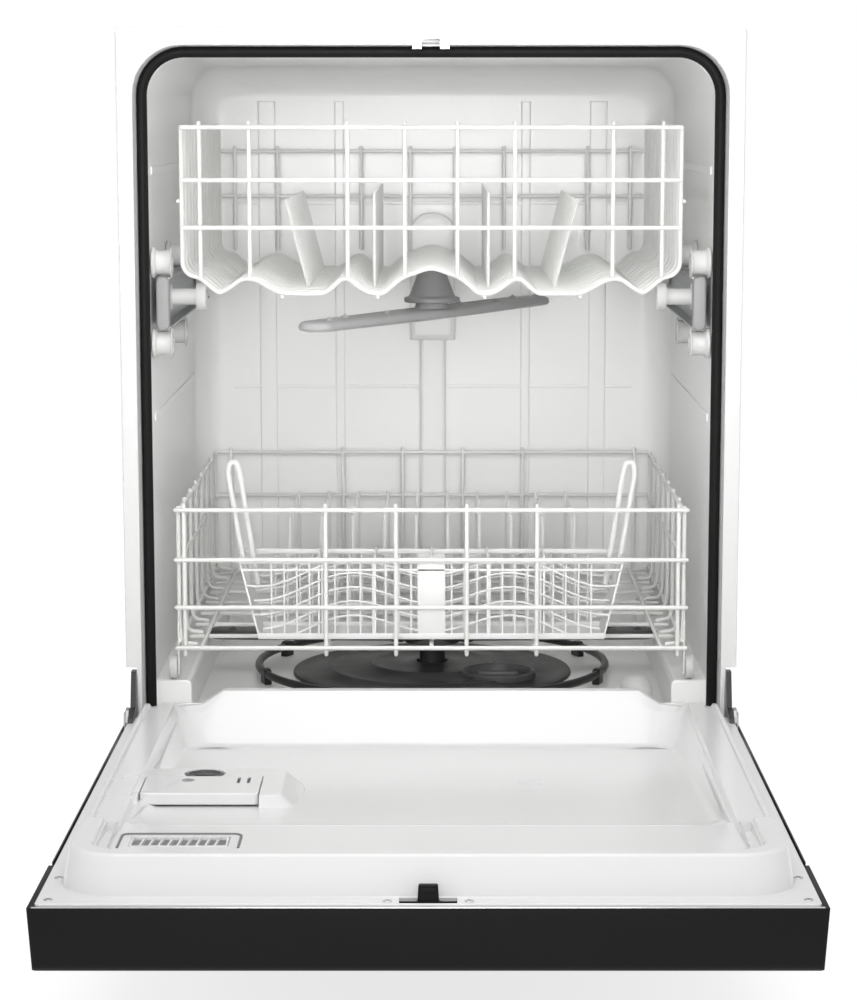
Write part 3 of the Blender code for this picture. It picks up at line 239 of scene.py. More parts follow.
paints.update({name: sheetMetal(name, look) for name, look in metalLooks.items()})
# the tub's paint, with painted shade on its front flange
tubPaint = flangeShadedPlastic("tubMoulding", plasticLooks["tubWhite"])
print("materials made")


def clearSelection():
    if bpy.context.object and bpy.context.object.mode != "OBJECT":
        bpy.ops.object.mode_set(mode="OBJECT")
    bpy.ops.object.select_all(action="DESELECT")


def makeActive(obj):
    clearSelection()
    obj.select_set(True)
    bpy.context.view_layer.objects.active = obj


def applyPlace(obj):
    makeActive(obj)
    bpy.ops.object.transform_apply(location=True, rotation=True, scale=True)


def addBox(low, high):
    # a box between two corners, placed in its mesh
    clearSelection()
    low, high = Vector(low), Vector(high)
    bpy.ops.mesh.primitive_cube_add(size=1, location=(low + high) / 2)
    obj = bpy.context.object
    obj.scale = high - low
    applyPlace(obj)
    return obj


def addRound(radius, low, high, place, axis="Z", sides=32):
    # a round bar along an axis through a place, from low to high
    clearSelection()
    turn = {"X": (0, math.pi / 2, 0), "Y": (-math.pi / 2, 0, 0), "Z": (0, 0, 0)}[axis]
    bpy.ops.mesh.primitive_cylinder_add(vertices=sides, radius=radius, depth=high - low,
                                        rotation=turn)
    obj = bpy.context.object
    middle = (low + high) / 2
    obj.location = Vector(place) + Vector(
        {"X": (middle, 0, 0), "Y": (0, middle, 0), "Z": (0, 0, middle)}[axis])
    applyPlace(obj)
    return obj


def editMesh(obj, mode="FACE"):
    makeActive(obj)
    bpy.ops.object.mode_set(mode="EDIT")
    bpy.ops.mesh.select_mode(type=mode)
    bpy.ops.mesh.select_all(action="DESELECT")
    return bmesh.from_edit_mesh(obj.data)


def leaveEdit():
    bpy.ops.object.mode_set(mode="OBJECT")


def pickFaces(obj, test):
    # enter edit mode with the faces whose centre and normal pass a test selected
    mesh = editMesh(obj, "FACE")
    for face in mesh.faces:
        if test(face.calc_center_median(), face.normal):
            face.select_set(True)
    bmesh.update_edit_mesh(obj.data)


def pickEdges(obj, test):
    mesh = editMesh(obj, "EDGE")
    for edge in mesh.edges:
        a, b = (v.co for v in edge.verts)
        if test((a + b) / 2, (b - a).normalized()):
            edge.select_set(True)
    bmesh.update_edit_mesh(obj.data)


def bevelEdges(obj, test, width, segments=3):
    pickEdges(obj, test)
    bpy.ops.mesh.bevel(offset=width, segments=segments, affect="EDGES")
    leaveEdit()


def insetFaces(obj, test, thickness, depth=0.0):
    pickFaces(obj, test)
    bpy.ops.mesh.inset(thickness=thickness, depth=depth)
    leaveEdit()


def extrudeFaces(obj, test, move):
    pickFaces(obj, test)
    bpy.ops.mesh.extrude_region_move(TRANSFORM_OT_translate={"value": move})
    leaveEdit()


def modify(obj, kind, **settings):
    # add a modifier and apply it
    makeActive(obj)
    step = obj.modifiers.new(kind.lower(), kind)
    for key, value in settings.items():
        setattr(step, key, value)
    bpy.ops.object.modifier_apply(modifier=step.name)


def carve(obj, *tools):
    for tool in tools:
        modify(obj, "BOOLEAN", operation="DIFFERENCE", object=tool, solver="EXACT")
        bpy.data.objects.remove(tool)


def weldOn(obj, *tools):
    for tool in tools:
        modify(obj, "BOOLEAN", operation="UNION", object=tool, solver="EXACT")
        bpy.data.objects.remove(tool)


def joinAll(name, objects):
    clearSelection()
    for obj in objects:
        obj.select_set(True)
    bpy.context.view_layer.objects.active = objects[0]
    if len(objects) > 1:
        bpy.ops.object.join()
    objects[0].name = name
    return objects[0]


def roundOff(obj, width, segments=2, angle=35):
    modify(obj, "BEVEL", width=width, segments=segments, limit_method="ANGLE",
           angle_limit=math.radians(angle), harden_normals=False)


def smooth(obj, angle=40):
    makeActive(obj)
    bpy.ops.object.shade_smooth_by_angle(angle=math.radians(angle))


def evenShade(obj, angle=40):
    # broad flat faces keep flat shading next to small rounded edges
    smooth(obj, angle)
    modify(obj, "WEIGHTED_NORMAL", keep_sharp=True, weight=60)
    obj["shaded"] = True


def done(obj, name, body, paint, slotName, *nodes):
    # name a finished piece, finish its surface, and hang it on its body
    obj.name = name
    obj.data.name = name
    if not obj.get("shaded"):
        smooth(obj)
    if paint:
        obj.data.materials.clear()
        obj.data.materials.append(paints[paint])
    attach(obj, body)
    if nodes:
        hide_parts(*nodes)
    return obj


def roundedPath(points, radius, steps=4):
    # soften a path's corners with arcs
    points = [Vector(p) for p in points]
    path = [points[0]]
    for before, corner, after in zip(points, points[1:], points[2:]):
        a = before - corner
        b = after - corner
        reach = min(radius, a.length * 0.45, b.length * 0.45)
        start = corner + a.normalized() * reach
        end = corner + b.normalized() * reach
        for k in range(steps + 1):
            t = k / steps
            path.append((1 - t) ** 2 * start + 2 * t * (1 - t) * corner + t * t * end)
    return path + [points[-1]]


def bendWires(paths, radius, sides=8, tips=True):
    # several bent rods as one mesh, with rounded ends
    curve = bpy.data.curves.new("rod", "CURVE")
    curve.dimensions = "3D"
    curve.bevel_depth = radius
    curve.bevel_resolution = max(0, sides // 2 - 2)
    curve.use_fill_caps = True
    for path in paths:
        path = [Vector(p) for p in path]
        first = (path[0] - path[1]).normalized() * radius
        last = (path[-1] - path[-2]).normalized() * radius
        widths = [1.0] * len(path)
        if tips:
            path = [path[0] + first * 0.9, path[0] + first * 0.5] + path
            path += [path[-1] + last * 0.5, path[-1] + last * 0.9]
            widths = [0.4, 0.85] + widths + [0.85, 0.4]
        spline = curve.splines.new("POLY")
        spline.points.add(len(path) - 1)
        for point, place, width in zip(spline.points, path, widths):
            point.co = (*place, 1)
            point.radius = width
    obj = bpy.data.objects.new("rod", curve)
    bpy.context.scene.collection.objects.link(obj)
    makeActive(obj)
    bpy.ops.object.convert(target="MESH")
    obj = bpy.context.object
    editMesh(obj)
    bpy.ops.mesh.select_all(action="SELECT")
    bpy.ops.mesh.remove_doubles(threshold=0.00002)
    bpy.ops.mesh.normals_make_consistent(inside=False)
    leaveEdit()
    return obj


def spinProfile(profile, place, axis="Z", steps=48, ring=False):
    # turn a profile of (radius, height) about an axis through a place
    clearSelection()
    mesh = bpy.data.meshes.new("turned")
    points = [(r, 0, h) for r, h in profile]
    edges = [(k, k + 1) for k in range(len(points) - 1)]
    if ring:
        edges.append((len(points) - 1, 0))
    mesh.from_pydata(points, edges, [])
    obj = bpy.data.objects.new("turned", mesh)
    bpy.context.scene.collection.objects.link(obj)
    editMesh(obj, "VERT")
    bpy.ops.mesh.select_all(action="SELECT")
    bpy.ops.mesh.spin(steps=steps, angle=2 * math.pi, center=(0, 0, 0), axis=(0, 0, 1))
    bpy.ops.mesh.select_all(action="SELECT")
    bpy.ops.mesh.remove_doubles(threshold=0.00002)
    bpy.ops.mesh.normals_make_consistent(inside=False)
    leaveEdit()
    obj.rotation_euler = {"X": (0, math.pi / 2, 0), "Y": (-math.pi / 2, 0, 0),
                          "Z": (0, 0, 0)}[axis]
    obj.location = place
    applyPlace(obj)
    return obj


def loftLoops(loops, capStart=False, capEnd=True):
    # a tube of rings is bridged in one go, then its rings are moved to their places
    count = len(loops[0])
    rounds = []
    for k in range(len(loops)):
        for n in range(count):
            turn = 2 * math.pi * n / count
            rounds.append((math.cos(turn), math.sin(turn), 0.4 * k))
    edges = [(k * count + n, k * count + (n + 1) % count)
             for k in range(len(loops)) for n in range(count)]
    mesh = bpy.data.meshes.new("loft")
    mesh.from_pydata(rounds, edges, [])
    obj = bpy.data.objects.new("loft", mesh)
    bpy.context.scene.collection.objects.link(obj)
    editMesh(obj, "EDGE")
    bpy.ops.mesh.select_all(action="SELECT")
    bpy.ops.mesh.bridge_edge_loops()
    leaveEdit()
    for cap, height in ((capStart, 0.0), (capEnd, 0.4 * (len(loops) - 1))):
        if cap:
            mesh = editMesh(obj, "VERT")
            for v in mesh.verts:
                v.select_set(abs(v.co.z - height) < 0.1)
            mesh.select_flush(True)
            bmesh.update_edit_mesh(obj.data)
            bpy.ops.mesh.edge_face_add()
            leaveEdit()
    for v in obj.data.vertices:
        k = round(v.co.z / 0.4)
        n = round(math.atan2(v.co.y, v.co.x) / (2 * math.pi) * count) % count
        v.co = loops[k][n]
    editMesh(obj)
    bpy.ops.mesh.select_all(action="SELECT")
    bpy.ops.mesh.normals_make_consistent(inside=False)
    leaveEdit()
    return obj


def arcPoints(x, z, radius, start, end, steps):
    found = []
    for k in range(steps + 1):
        angle = math.radians(start + (end - start) * k / steps)
        found.append((x + radius * math.cos(angle), z + radius * math.sin(angle)))
    return found


def archLoop(half, top, bottom, radius, y, notch=0.0, steps=8):
    # a doorway outline: straight sides, round upper corners, and a notch low on each side
    foot = half - notch
    right = [(foot, bottom), (foot, notchTop), (half, notchTop + 0.0004)]
    flat = right + arcPoints(half - radius, top - radius, radius, 0, 90, steps)
    flat += arcPoints(radius - half, top - radius, radius, 90, 180, steps)
    flat += [(-x, z) for x, z in right[::-1]]
    return [(x, y, z) for x, z in flat]


def roundLoop(half, near, far, radius, height, steps=8, middle=0.0, stops=(), across=()):
    # a round-cornered rectangle seen from above; stops are extra points along its sides
    # and across its far edge
    flat = arcPoints(half - radius, far - radius, radius, 0, 90, steps)
    flat += [(x, far) for x in across]
    flat += arcPoints(radius - half, far - radius, radius, 90, 180, steps)
    along = [max(y, near + radius + 0.0002 * (k + 1)) for k, y in enumerate(sorted(stops))]
    flat += [(-half, y) for y in along[::-1]]
    flat += arcPoints(radius - half, near + radius, radius, 180, 270, steps)
    flat += arcPoints(half - radius, near + radius, radius, 270, 360, steps)
    flat += [(half, y) for y in along]
    return [(x + middle, y, height(x, y)) for x, y in flat]


def row(y):
    # a depth measured from the front flange, in the object's own frame
    return flangeY + y


tub = {"sheet": 0.003, "corner": 0.035, "floor": 0.188, "edge": 0.005,
       "ledgeIn": 0.240, "ledgeTop": 0.2247, "ledgeFront": 0.0405, "hole": 0.075}


def makeTub():
    back = tubHigh.y - tub["sheet"]
    low = tubLow.z
    half, top = tubHigh.x, tubHigh.z
    lip = 0.0022
    rise = mouth["radius"]
    notch = 0.0105
    seat = row(mouth["depth"])
    loops = [
        archLoop(half - 0.0004, top - 0.0004, low, tub["edge"], row(0.0032), notch),
        archLoop(half, top, low, tub["edge"], row(0.0012), notch),
        archLoop(half - 0.0012, top - 0.0012, low + 0.0006, tub["edge"], row(0), notch),
        archLoop(halfMouth + lip, topMouth + lip, low + 0.002, rise + lip, row(0)),
        archLoop(halfMouth + 0.0005, topMouth + 0.0005, low + 0.0028, rise, row(0.0008)),
        archLoop(halfMouth, topMouth, tub["floor"], rise, row(0.0030)),
        archLoop(halfMouth, topMouth, tub["floor"], rise, seat - 0.0012),
        archLoop(halfMouth - 0.0012, topMouth - 0.0012, tub["floor"], rise - 0.001, seat),
        archLoop(halfTub + 0.0015, topTub + 0.0015, tub["floor"], rise - 0.007, seat),
        archLoop(halfTub, topTub, tub["floor"], rise - 0.008, seat + 0.002),
    ]
    bend = tub["corner"]
    for k in range(7):
        turn = math.radians(15 * k)
        inset = bend * (1 - math.cos(turn))
        loops.append(archLoop(halfTub - inset, topTub - inset, tub["floor"] + inset,
                              rise - 0.009, back - bend + bend * math.sin(turn)))
    shell = loftLoops(loops)
    # the room inside is what shows, so the faces look inwards and the wall goes outwards
    editMesh(shell)
    bpy.ops.mesh.select_all(action="SELECT")
    bpy.ops.mesh.normals_make_consistent(inside=False)
    leaveEdit()
    middle = Vector((0, row(0.3), 0.5))
    inward = sum((middle - f.center).dot(f.normal) * f.area for f in shell.data.polygons)
    if inward < 0:
        editMesh(shell)
        bpy.ops.mesh.select_all(action="SELECT")
        bpy.ops.mesh.flip_normals()
        leaveEdit()
    modify(shell, "SOLIDIFY", thickness=tub["sheet"], offset=-1)
    carve(shell,
          addBox((-0.018, row(-0.01), topMouth - 0.004), (0.018, row(0.030), topMouth + 0.0115)),
          addRound(tub["hole"], tub["floor"] - 0.02, tub["floor"] + 0.02, (0, row(0.265), 0)))
    extras = []
    for side in (-1, 1):
        inner, outer = sorted((side * tub["ledgeIn"], side * (halfTub + 0.001)))
        ledge = addBox((inner, row(tub["ledgeFront"]), tub["floor"] - 0.001),
                       (outer, back + 0.001, tub["ledgeTop"]))
        bevelEdges(ledge, lambda c, d: abs(d.y) > 0.9 and c.z > 0.2
                   and abs(c.x) < halfTub - 0.01, 0.006, 4)
        bevelEdges(ledge, lambda c, d: c.y < row(tub["ledgeFront"] + 0.01)
                   and c.z > 0.19, 0.003, 2)
        extras.append(ledge)
    # pressed ribs on the back wall and the side walls
    wall = {"wide": 0.191, "wideHalf": 0.010, "narrow": 0.1075, "narrowHalf": 0.0055,
            "low": 0.232, "high": 0.800, "proud": 0.0022}
    for side in (-1, 1):
        for centre, spread in ((wall["wide"], wall["wideHalf"]),
                               (wall["narrow"], wall["narrowHalf"])):
            rib = addBox((side * centre - spread, back - wall["proud"], wall["low"]),
                         (side * centre + spread, back + 0.001, wall["high"]))
            bevelEdges(rib, lambda c, d: c.y < back - 0.001, 0.0018, 3)
            extras.append(rib)
    for z in (0.472, 0.684):
        rib = addBox((-0.232, back - 0.0016, z - 0.002), (0.232, back + 0.001, z + 0.002))
        bevelEdges(rib, lambda c, d: c.y < back - 0.001, 0.0012, 2)
        extras.append(rib)
    for side in (-1, 1):
        for z in (0.487, 0.730):
            a, b = sorted((side * (halfTub - 0.0016), side * (halfTub + 0.001)))
            rib = addBox((a, row(0.060), z - 0.004), (b, back - 0.040, z + 0.004))
            bevelEdges(rib, lambda c, d: abs(c.x) < halfTub - 0.001, 0.0014, 2)
            extras.append(rib)
    # stiffening ribs outside, seen from the sides, the back and above
    outer = halfTub + tub["sheet"]
    for y in (0.090, 0.215, 0.340, 0.465):
        for side in (-1, 1):
            a, b = sorted((side * (outer - 0.001), side * (outer + 0.0035)))
            rib = addBox((a, row(y) - 0.006, 0.205), (b, row(y) + 0.006, topTub - 0.045))
            bevelEdges(rib, lambda c, d: abs(c.x) > outer + 0.003, 0.0025, 3)
            extras.append(rib)
        rib = addBox((-halfTub + 0.055, row(y) - 0.006, topTub + tub["sheet"] - 0.001),
                     (halfTub - 0.055, row(y) + 0.006, topTub + tub["sheet"] + 0.0035))
        bevelEdges(rib, lambda c, d: c.z > topTub + tub["sheet"] + 0.003, 0.0025, 3)
        extras.append(rib)
    for x in (-0.16, 0.0, 0.16):
        rib = addBox((x - 0.007, back + tub["sheet"] - 0.001, 0.235),
                     (x + 0.007, back + tub["sheet"] + 0.0035, 0.790))
        bevelEdges(rib, lambda c, d: c.y > back + tub["sheet"] + 0.003, 0.0025, 3)
        extras.append(rib)
    whole = joinAll("tubShell", [shell] + extras)
    evenShade(whole)
    done(whole, "tubShell", "root", "tubWhite", "tub_plastic", *tubNodes)
    whole.data.materials[0] = tubPaint


makeTub()
print("tub made")


seal = {"bulb": 0.0046, "lip": 0.0023, "bottom": 0.198}


def makeSeal():
    paths = []
    y = row(mouth["depth"] - 0.0051)
    for inset, depth in ((0.0050, y), (0.0084, y - 0.0004)):
        half, top = halfMouth - inset, topMouth - inset
        radius = mouth["radius"] - inset
        flat = [(half, seal["bottom"])]
        flat += arcPoints(half - radius, top - radius, radius, 0, 90, 12)
        flat += arcPoints(radius - half, top - radius, radius, 90, 180, 12)
        flat += [(-half, seal["bottom"])]
        paths.append([(x, depth, z) for x, z in flat])
    bulb = bendWires(paths[:1], seal["bulb"], 12)
    lip = bendWires(paths[1:], seal["lip"], 8)
    done(joinAll("doorSeal", [bulb, lip]), "doorSeal", "root", "sealRubber",
         "seal_rubber", "door_seal")


makeSeal()
print("seal made")


kept = {
    "strike_plate": "brightSteel", "base_frame": "zincSheet", "toe_panel": "enamelBlack",
    "rail_left": "zincSheet", "rail_right": "zincSheet", "door_panel": "enamelBlack",
    "hinge_arm_left": "enamelBlack", "hinge_arm_right": "enamelBlack",
    "inlet_valve": "sumpDark", "sump": "sumpDark", "wash_motor": "zincSheet",
    "drain_pump": "sumpDark",
}
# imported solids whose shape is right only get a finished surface
for nodeName, paintName in kept.items():
    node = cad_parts[nodeName]
    node.data.materials.clear()
    node.data.materials.append(paints[paintName])
print("base and metalwork finished")


upper = {"ribs": 14, "finRod": 0.0017}
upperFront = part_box("upper_rack_front")
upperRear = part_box("upper_rack_rear")
waveStops = (
    (0.0, 0.026), (0.07, 0.020), (0.12, 0.0155), (0.165, 0.006), (0.19, 0.0), (0.245, 0.0),
    (0.29, 0.0065), (0.33, 0.0145), (0.36, 0.0145), (0.40, 0.006), (0.43, 0.0),
    (0.60, 0.0), (0.65, 0.006), (0.71, 0.0145), (0.765, 0.0145), (0.81, 0.006),
    (0.853, 0.0), (0.885, 0.006), (0.93, 0.0155),
)


def upperHeights():
    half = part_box("upper_rack_basket")[1].x - 2.5 * wireRadius
    top = upperFront[1].z - 0.004
    return half, top


def makeUpperBasket():
    half, top = upperHeights()
    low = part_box("rail_left")[0].z
    valley = low + 0.025 + 0.0095
    line = [(share * half, valley + lift) for share, lift in waveStops]
    line += [(half - 0.006, valley + 0.018), (half, valley + 0.026), (half, top)]
    flat = [(-x, z) for x, z in line[:0:-1]] + line
    first = upperFront[0].y + 3 * wireRadius + 0.0014
    last = upperRear[0].y - 0.0030
    first, last = first + 0.002, last - 0.002
    ribs = []
    count = upper["ribs"]
    for k in range(count):
        y = first + (last - first) * k / (count - 1)
        ribs.append(roundedPath([(x, y, z) for x, z in flat], 0.008, 3))
    pieces = [bendWires(ribs, wireRadius, 8)]
    along = []
    for share in (-0.60, 0.60, -0.215, 0.215):
        z = valley - 1.5 * wireRadius
        along.append([(share * half, first - 0.002, z), (share * half, last + 0.002, z)])
    for side in (-1, 1):
        x = side * (half + 1.5 * wireRadius)
        along.append([(x, first - 0.002, valley + 0.090), (x, last + 0.002, valley + 0.090)])
    pieces.append(bendWires(along, wireRadius, 8))
    tines = []
    for base, tip, height in ((0.505, 0.60, 0.088), (0.235, 0.235, 0.096)):
        for side in (-1, 1):
            for k in range(count):
                y = first + (last - first) * k / (count - 1)
                if 0.055 < y - first < last - first - 0.03:
                    foot = (side * base * half, y + 0.0028, valley - 0.001)
                    head = (side * tip * half, y + 0.0028, valley + height)
                    tines.append([foot, head])
    pieces.append(bendWires(tines, upper["finRod"], 6))
    done(joinAll("upperBasketWires", pieces), "upperBasketWires", "upper_rack",
         "rackVinyl", "rack_vinyl", "upper_rack_basket")
    return half, top, valley


def gridPaths(y, levels, stations, half, low, behind, endHook=0.004):
    level = [[(-half, y, z), (half, y, z)] for z in levels]
    upright = []
    for share in stations:
        for side in (-1, 1):
            x = side * share * half
            upright.append([(x, y + behind, low), (x, y + behind, levels[0] + endHook)])
    return level + upright


def makeUpperEnds(half, top, valley):
    y = upperFront[0].y + wireRadius
    paths = gridPaths(y, (top, top - 0.051, top - 0.097), (0.106, 0.337, 0.732, 0.931),
                      half - 0.0015, valley + 0.018, wireRadius * 1.4)
    done(bendWires(paths, wireRadius, 10), "upperFrontGrid", "upper_rack", "rackVinyl",
         "rack_vinyl", "upper_rack_front")
    y = upperRear[0].y + wireRadius
    paths = gridPaths(y, (top - 0.029, top - 0.080), (0.106, 0.341, 0.740, 0.943),
                      half - 0.004, valley + 0.022, -wireRadius * 0.2)
    done(bendWires(paths, wireRadius, 10), "upperRearGrid", "upper_rack", "rackVinyl",
         "rack_vinyl", "upper_rack_rear")


upperHalf, upperTop, upperValley = makeUpperBasket()
makeUpperEnds(upperHalf, upperTop, upperValley)
print("upper rack made")


arm = {"tip": 0.019, "middle": 0.026, "nozzle": 0.0042, "thick": 0.010}


def makeBlade(name, centreY, low, angle, reach):
    # a flat hollow arm: loft between outlines, with raised nozzles and two ribs on top
    def outlineAt(shrink, z):
        r, middle = arm["tip"] - shrink, arm["middle"] - shrink
        flat = arcPoints(reach - arm["tip"], 0, r, -90, 90, 10) + [(0.06, middle * 0.97)]
        flat += [(0, middle), (-0.06, middle * 0.97)]
        flat += arcPoints(arm["tip"] - reach, 0, r, 90, 270, 10) + [(-0.06, -middle * 0.97)]
        flat += [(0, -middle), (0.06, -middle * 0.97)]
        return [(x, y, z) for x, y in flat]
    thick = arm["thick"]
    loops = [outlineAt(0.006, low), outlineAt(0.0015, low + 0.0012),
             outlineAt(0, low + 0.0035), outlineAt(0.0006, low + thick - 0.003),
             outlineAt(0.003, low + thick - 0.0008), outlineAt(0.006, low + thick)]
    blade = loftLoops(loops, True, True)
    parts = [blade]
    for k, spot in enumerate((-0.215, -0.165, -0.105, 0.070, 0.130, 0.190, 0.222)):
        if abs(spot) > reach - 0.018:
            continue
        side = 0.006 if k % 2 else -0.006
        cone = spinProfile([(0, 0.0036), (0.0012, 0.0034), (0.0016, 0.0022), (0.0034, 0.0020),
                            (arm["nozzle"], 0.0008), (0.0058, -0.0008), (0, -0.0008)],
                           (spot, side, low + thick), "Z", 16)
        parts.append(cone)
    for k in range(2):
        side = 1 - 2 * k
        rib = addBox((0.035, side * 0.010 - 0.0016, low + thick - 0.001),
                     (reach - 0.045, side * 0.010 + 0.0016, low + thick + 0.0010))
        bevelEdges(rib, lambda c, d: c.z > low + thick, 0.0009, 2)
        parts.append(rib)
    whole = joinAll(name, parts)
    whole.rotation_euler = (0, 0, math.radians(angle))
    whole.location = (0, centreY, 0)
    applyPlace(whole)
    return whole


def makeLowerArm():
    lowCorner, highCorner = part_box("lower_spray_arm")
    reach = highCorner.x
    centre = (lowCorner.y + highCorner.y) / 2
    low = lowCorner.z + 0.004
    blade = makeBlade("lowerArm", centre, low, 0, reach)
    hub = spinProfile([(0, 0.0155), (0.006, 0.0158), (0.0085, 0.0148), (0.010, 0.0125),
                       (0.020, 0.0118), (0.0225, 0.0105), (0.0255, 0.004), (0.0300, -0.002),
                       (0.0300, -0.0038), (0, -0.0038)], (0, centre, low), "Z", 32)
    done(joinAll("lowerSprayArm", [blade, hub]), "lowerSprayArm", "lower_spray_arm",
         "hubDark", "grey_plastic", "lower_spray_arm")
    return centre


def makeUpperArm(centre):
    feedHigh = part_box("upper_feed_tube")[1]
    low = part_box("upper_spray_arm")[0].z
    reach = tubHigh.x - 0.0565
    blade = makeBlade("upperArm", centre, low, 60, reach)
    neck = spinProfile([(0, 0.0155), (0.0165, 0.0155), (0.0170, 0.0145), (0.0200, 0.0035),
                        (0.0200, 0.0012), (0, 0.0012)], (0, centre, low), "Z", 32)
    done(joinAll("upperSprayArm", [blade, neck]), "upperSprayArm", "upper_spray_arm",
         "armGrey", "grey_plastic", "upper_spray_arm")
    z = low + 0.016 + 0.0004 + 0.023
    cone = spinProfile([(0, 0.0130), (0.0120, 0.0130), (0.0138, 0.0118), (0.0145, 0.0105),
                        (0.0180, 0.0000), (0.0235, -0.0150), (0.0255, -0.0172),
                        (0.0290, -0.0180), (0.0295, -0.0190), (0.0295, -0.0222),
                        (0.0288, -0.0230), (0, -0.0230)], (0, centre, z), "Z", 40)
    tubeEnd = feedHigh.y
    tube = spinProfile([(0, 0), (0.010, 0), (0.010, tubeEnd - centre - 0.030),
                        (0.0122, tubeEnd - centre - 0.028), (0.0122, tubeEnd - centre - 0.004),
                        (0.0112, tubeEnd - centre - 0.002), (0.010, tubeEnd - centre),
                        (0, tubeEnd - centre)], (0, centre, z), "Y", 24)
    done(joinAll("feedTube", [cone, tube]), "feedTube", "upper_rack", "hubGrey",
         "grey_plastic", "upper_feed_tube")


armCentre = makeLowerArm()
makeUpperArm(armCentre)
print("spray arms made")


def makeDuct():
    low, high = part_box("water_feed_duct")
    back = high.y
    headHalf = high.x
    feedZ = high.z - 0.062
    duct = addBox((-0.015, back - 0.014, low.z), (0.015, back, feedZ - 0.060))
    bevelEdges(duct, lambda c, d: abs(d.z) > 0.9 and c.y < back - 0.01, 0.005, 4)
    head = addBox((-headHalf, back - 0.020, feedZ - 0.084), (headHalf, back, high.z))
    bevelEdges(head, lambda c, d: abs(d.y) > 0.9 and c.z > feedZ, 0.0235, 8)
    bevelEdges(head, lambda c, d: c.y < back - 0.018, 0.003, 3)
    insetFaces(head, lambda c, n: n.y < -0.9 and c.y < back - 0.018, 0.005, -0.0018)
    ring = spinProfile([(0.0125, 0), (0.0175, 0), (0.0175, 0.0022), (0.0160, 0.0030),
                        (0.0135, 0.0030), (0.0125, 0.0022)], (0, back - 0.0215, feedZ), "Y",
                       32, True)
    whole = joinAll("feedDuct", [duct, head, ring])
    done(whole, "feedDuct", "root", "tubWhite", "tub_plastic", "water_feed_duct")


makeDuct()
print("duct made")



def makeRollers():
    for place in ("front", "rear"):
        for level in ("upper", "lower"):
            for side in ("left", "right"):
                name = f"tub_roller_{place}_{level}_{side}"
                low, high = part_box(name)
                sign = 1 if side == "right" else -1
                wall = high.x if sign > 0 else low.x
                centre = (low + high) / 2
                rim = (high.z - low.z) / 2
                core = rim - 0.003
                # from the wall inwards, then the dished outer face
                line = [(0, 0), (rim - 0.001, 0), (rim, 0.0008), (rim, 0.0034),
                        (rim - 0.001, 0.0044), (core + 0.0004, 0.0050), (core, 0.0056),
                        (core, 0.0174), (core + 0.0004, 0.0180), (rim - 0.0008, 0.0184),
                        (rim, 0.0190), (rim, 0.0196), (rim - 0.0005, 0.0200),
                        (core - 0.002, 0.0200), (core - 0.003, 0.0176), (0.0056, 0.0176),
                        (0.0052, 0.0198), (0.0026, 0.0200), (0.0022, 0.0186), (0, 0.0186)]
                roller = spinProfile([(r, -sign * h) for r, h in line],
                                     (wall, centre.y, centre.z), "X", 32)
                done(roller, name.replace("_", "-"), name, "rollerWhite",
                     "roller_plastic", name)


def makeRackWheels():
    for place in ("front", "rear"):
        for side in ("left", "right"):
            sign = 1 if side == "right" else -1
            name = f"upper_wheel_{place}_{side}"
            low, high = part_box(name)
            tip = max(abs(low.x), abs(high.x))
            inner = min(abs(low.x), abs(high.x))
            centre = (low + high) / 2
            tyre = inner + 0.0345
            radius = 0.013
            line = [(0, tip - 0.0006), (0.004, tip), (radius - 0.0012, tip),
                    (radius, tip - 0.0012), (radius, tyre + 0.001), (radius - 0.001, tyre),
                    (0.0085, tyre), (0.0080, tyre - 0.002), (0.0080, inner + 0.012),
                    (0.0085, inner + 0.010), (0.0128, inner + 0.010), (0.0135, inner + 0.009),
                    (0.0135, inner + 0.001), (0.0125, inner), (0.0090, inner),
                    (0.0080, inner + 0.0012), (0.0042, inner + 0.0012), (0.0036, inner),
                    (0, inner)]
            wheel = spinProfile([(r, sign * x) for r, x in line],
                                (0, centre.y, centre.z), "X", 32)
            done(wheel, name.replace("_", "-"), name, "rollerWhite", "roller_plastic", name)
            name = f"lower_wheel_{place}_{side}"
            low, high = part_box(name)
            tip = max(abs(low.x), abs(high.x))
            inner = min(abs(low.x), abs(high.x))
            centre = (low + high) / 2
            radius = (high.z - low.z) / 2
            line = [(0, tip - 0.0012), (0.0030, tip - 0.0006), (0.0040, tip - 0.0022),
                    (radius - 0.0030, tip - 0.0022), (radius - 0.0022, tip),
                    (radius - 0.0008, tip), (radius, tip - 0.0010), (radius, inner + 0.0010),
                    (radius - 0.0010, inner), (0, inner)]
            wheel = spinProfile([(r, sign * x) for r, x in line],
                                (0, centre.y, centre.z), "X", 32)
            done(wheel, name.replace("_", "-"), name, "rollerWhite", "roller_plastic", name)


def makeRailCaps():
    for side in ("left", "right"):
        low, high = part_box(f"rail_cap_{side}")
        cap = addBox(low, high)
        bevelEdges(cap, lambda c, d: abs(d.y) > 0.9, 0.0060, 8)
        bevelEdges(cap, lambda c, d: c.y < low.y + 0.001, 0.0022, 4)
        done(cap, f"railCap-{side}", f"rail_{side}", "capGrey", "grey_plastic",
             f"rail_cap_{side}")


makeRollers()
makeRackWheels()
makeRailCaps()
print("rollers, wheels and caps made")


lower = {"topDrop": (0.0, 0.050, 0.098, 0.139), "rows": 8,
         "tinePitch": 0.0337, "tineCount": 10, "tineRod": 0.0020}
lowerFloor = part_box("lower_rack_floor")
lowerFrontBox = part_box("lower_rack_front")
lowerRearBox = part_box("lower_rack_rear")


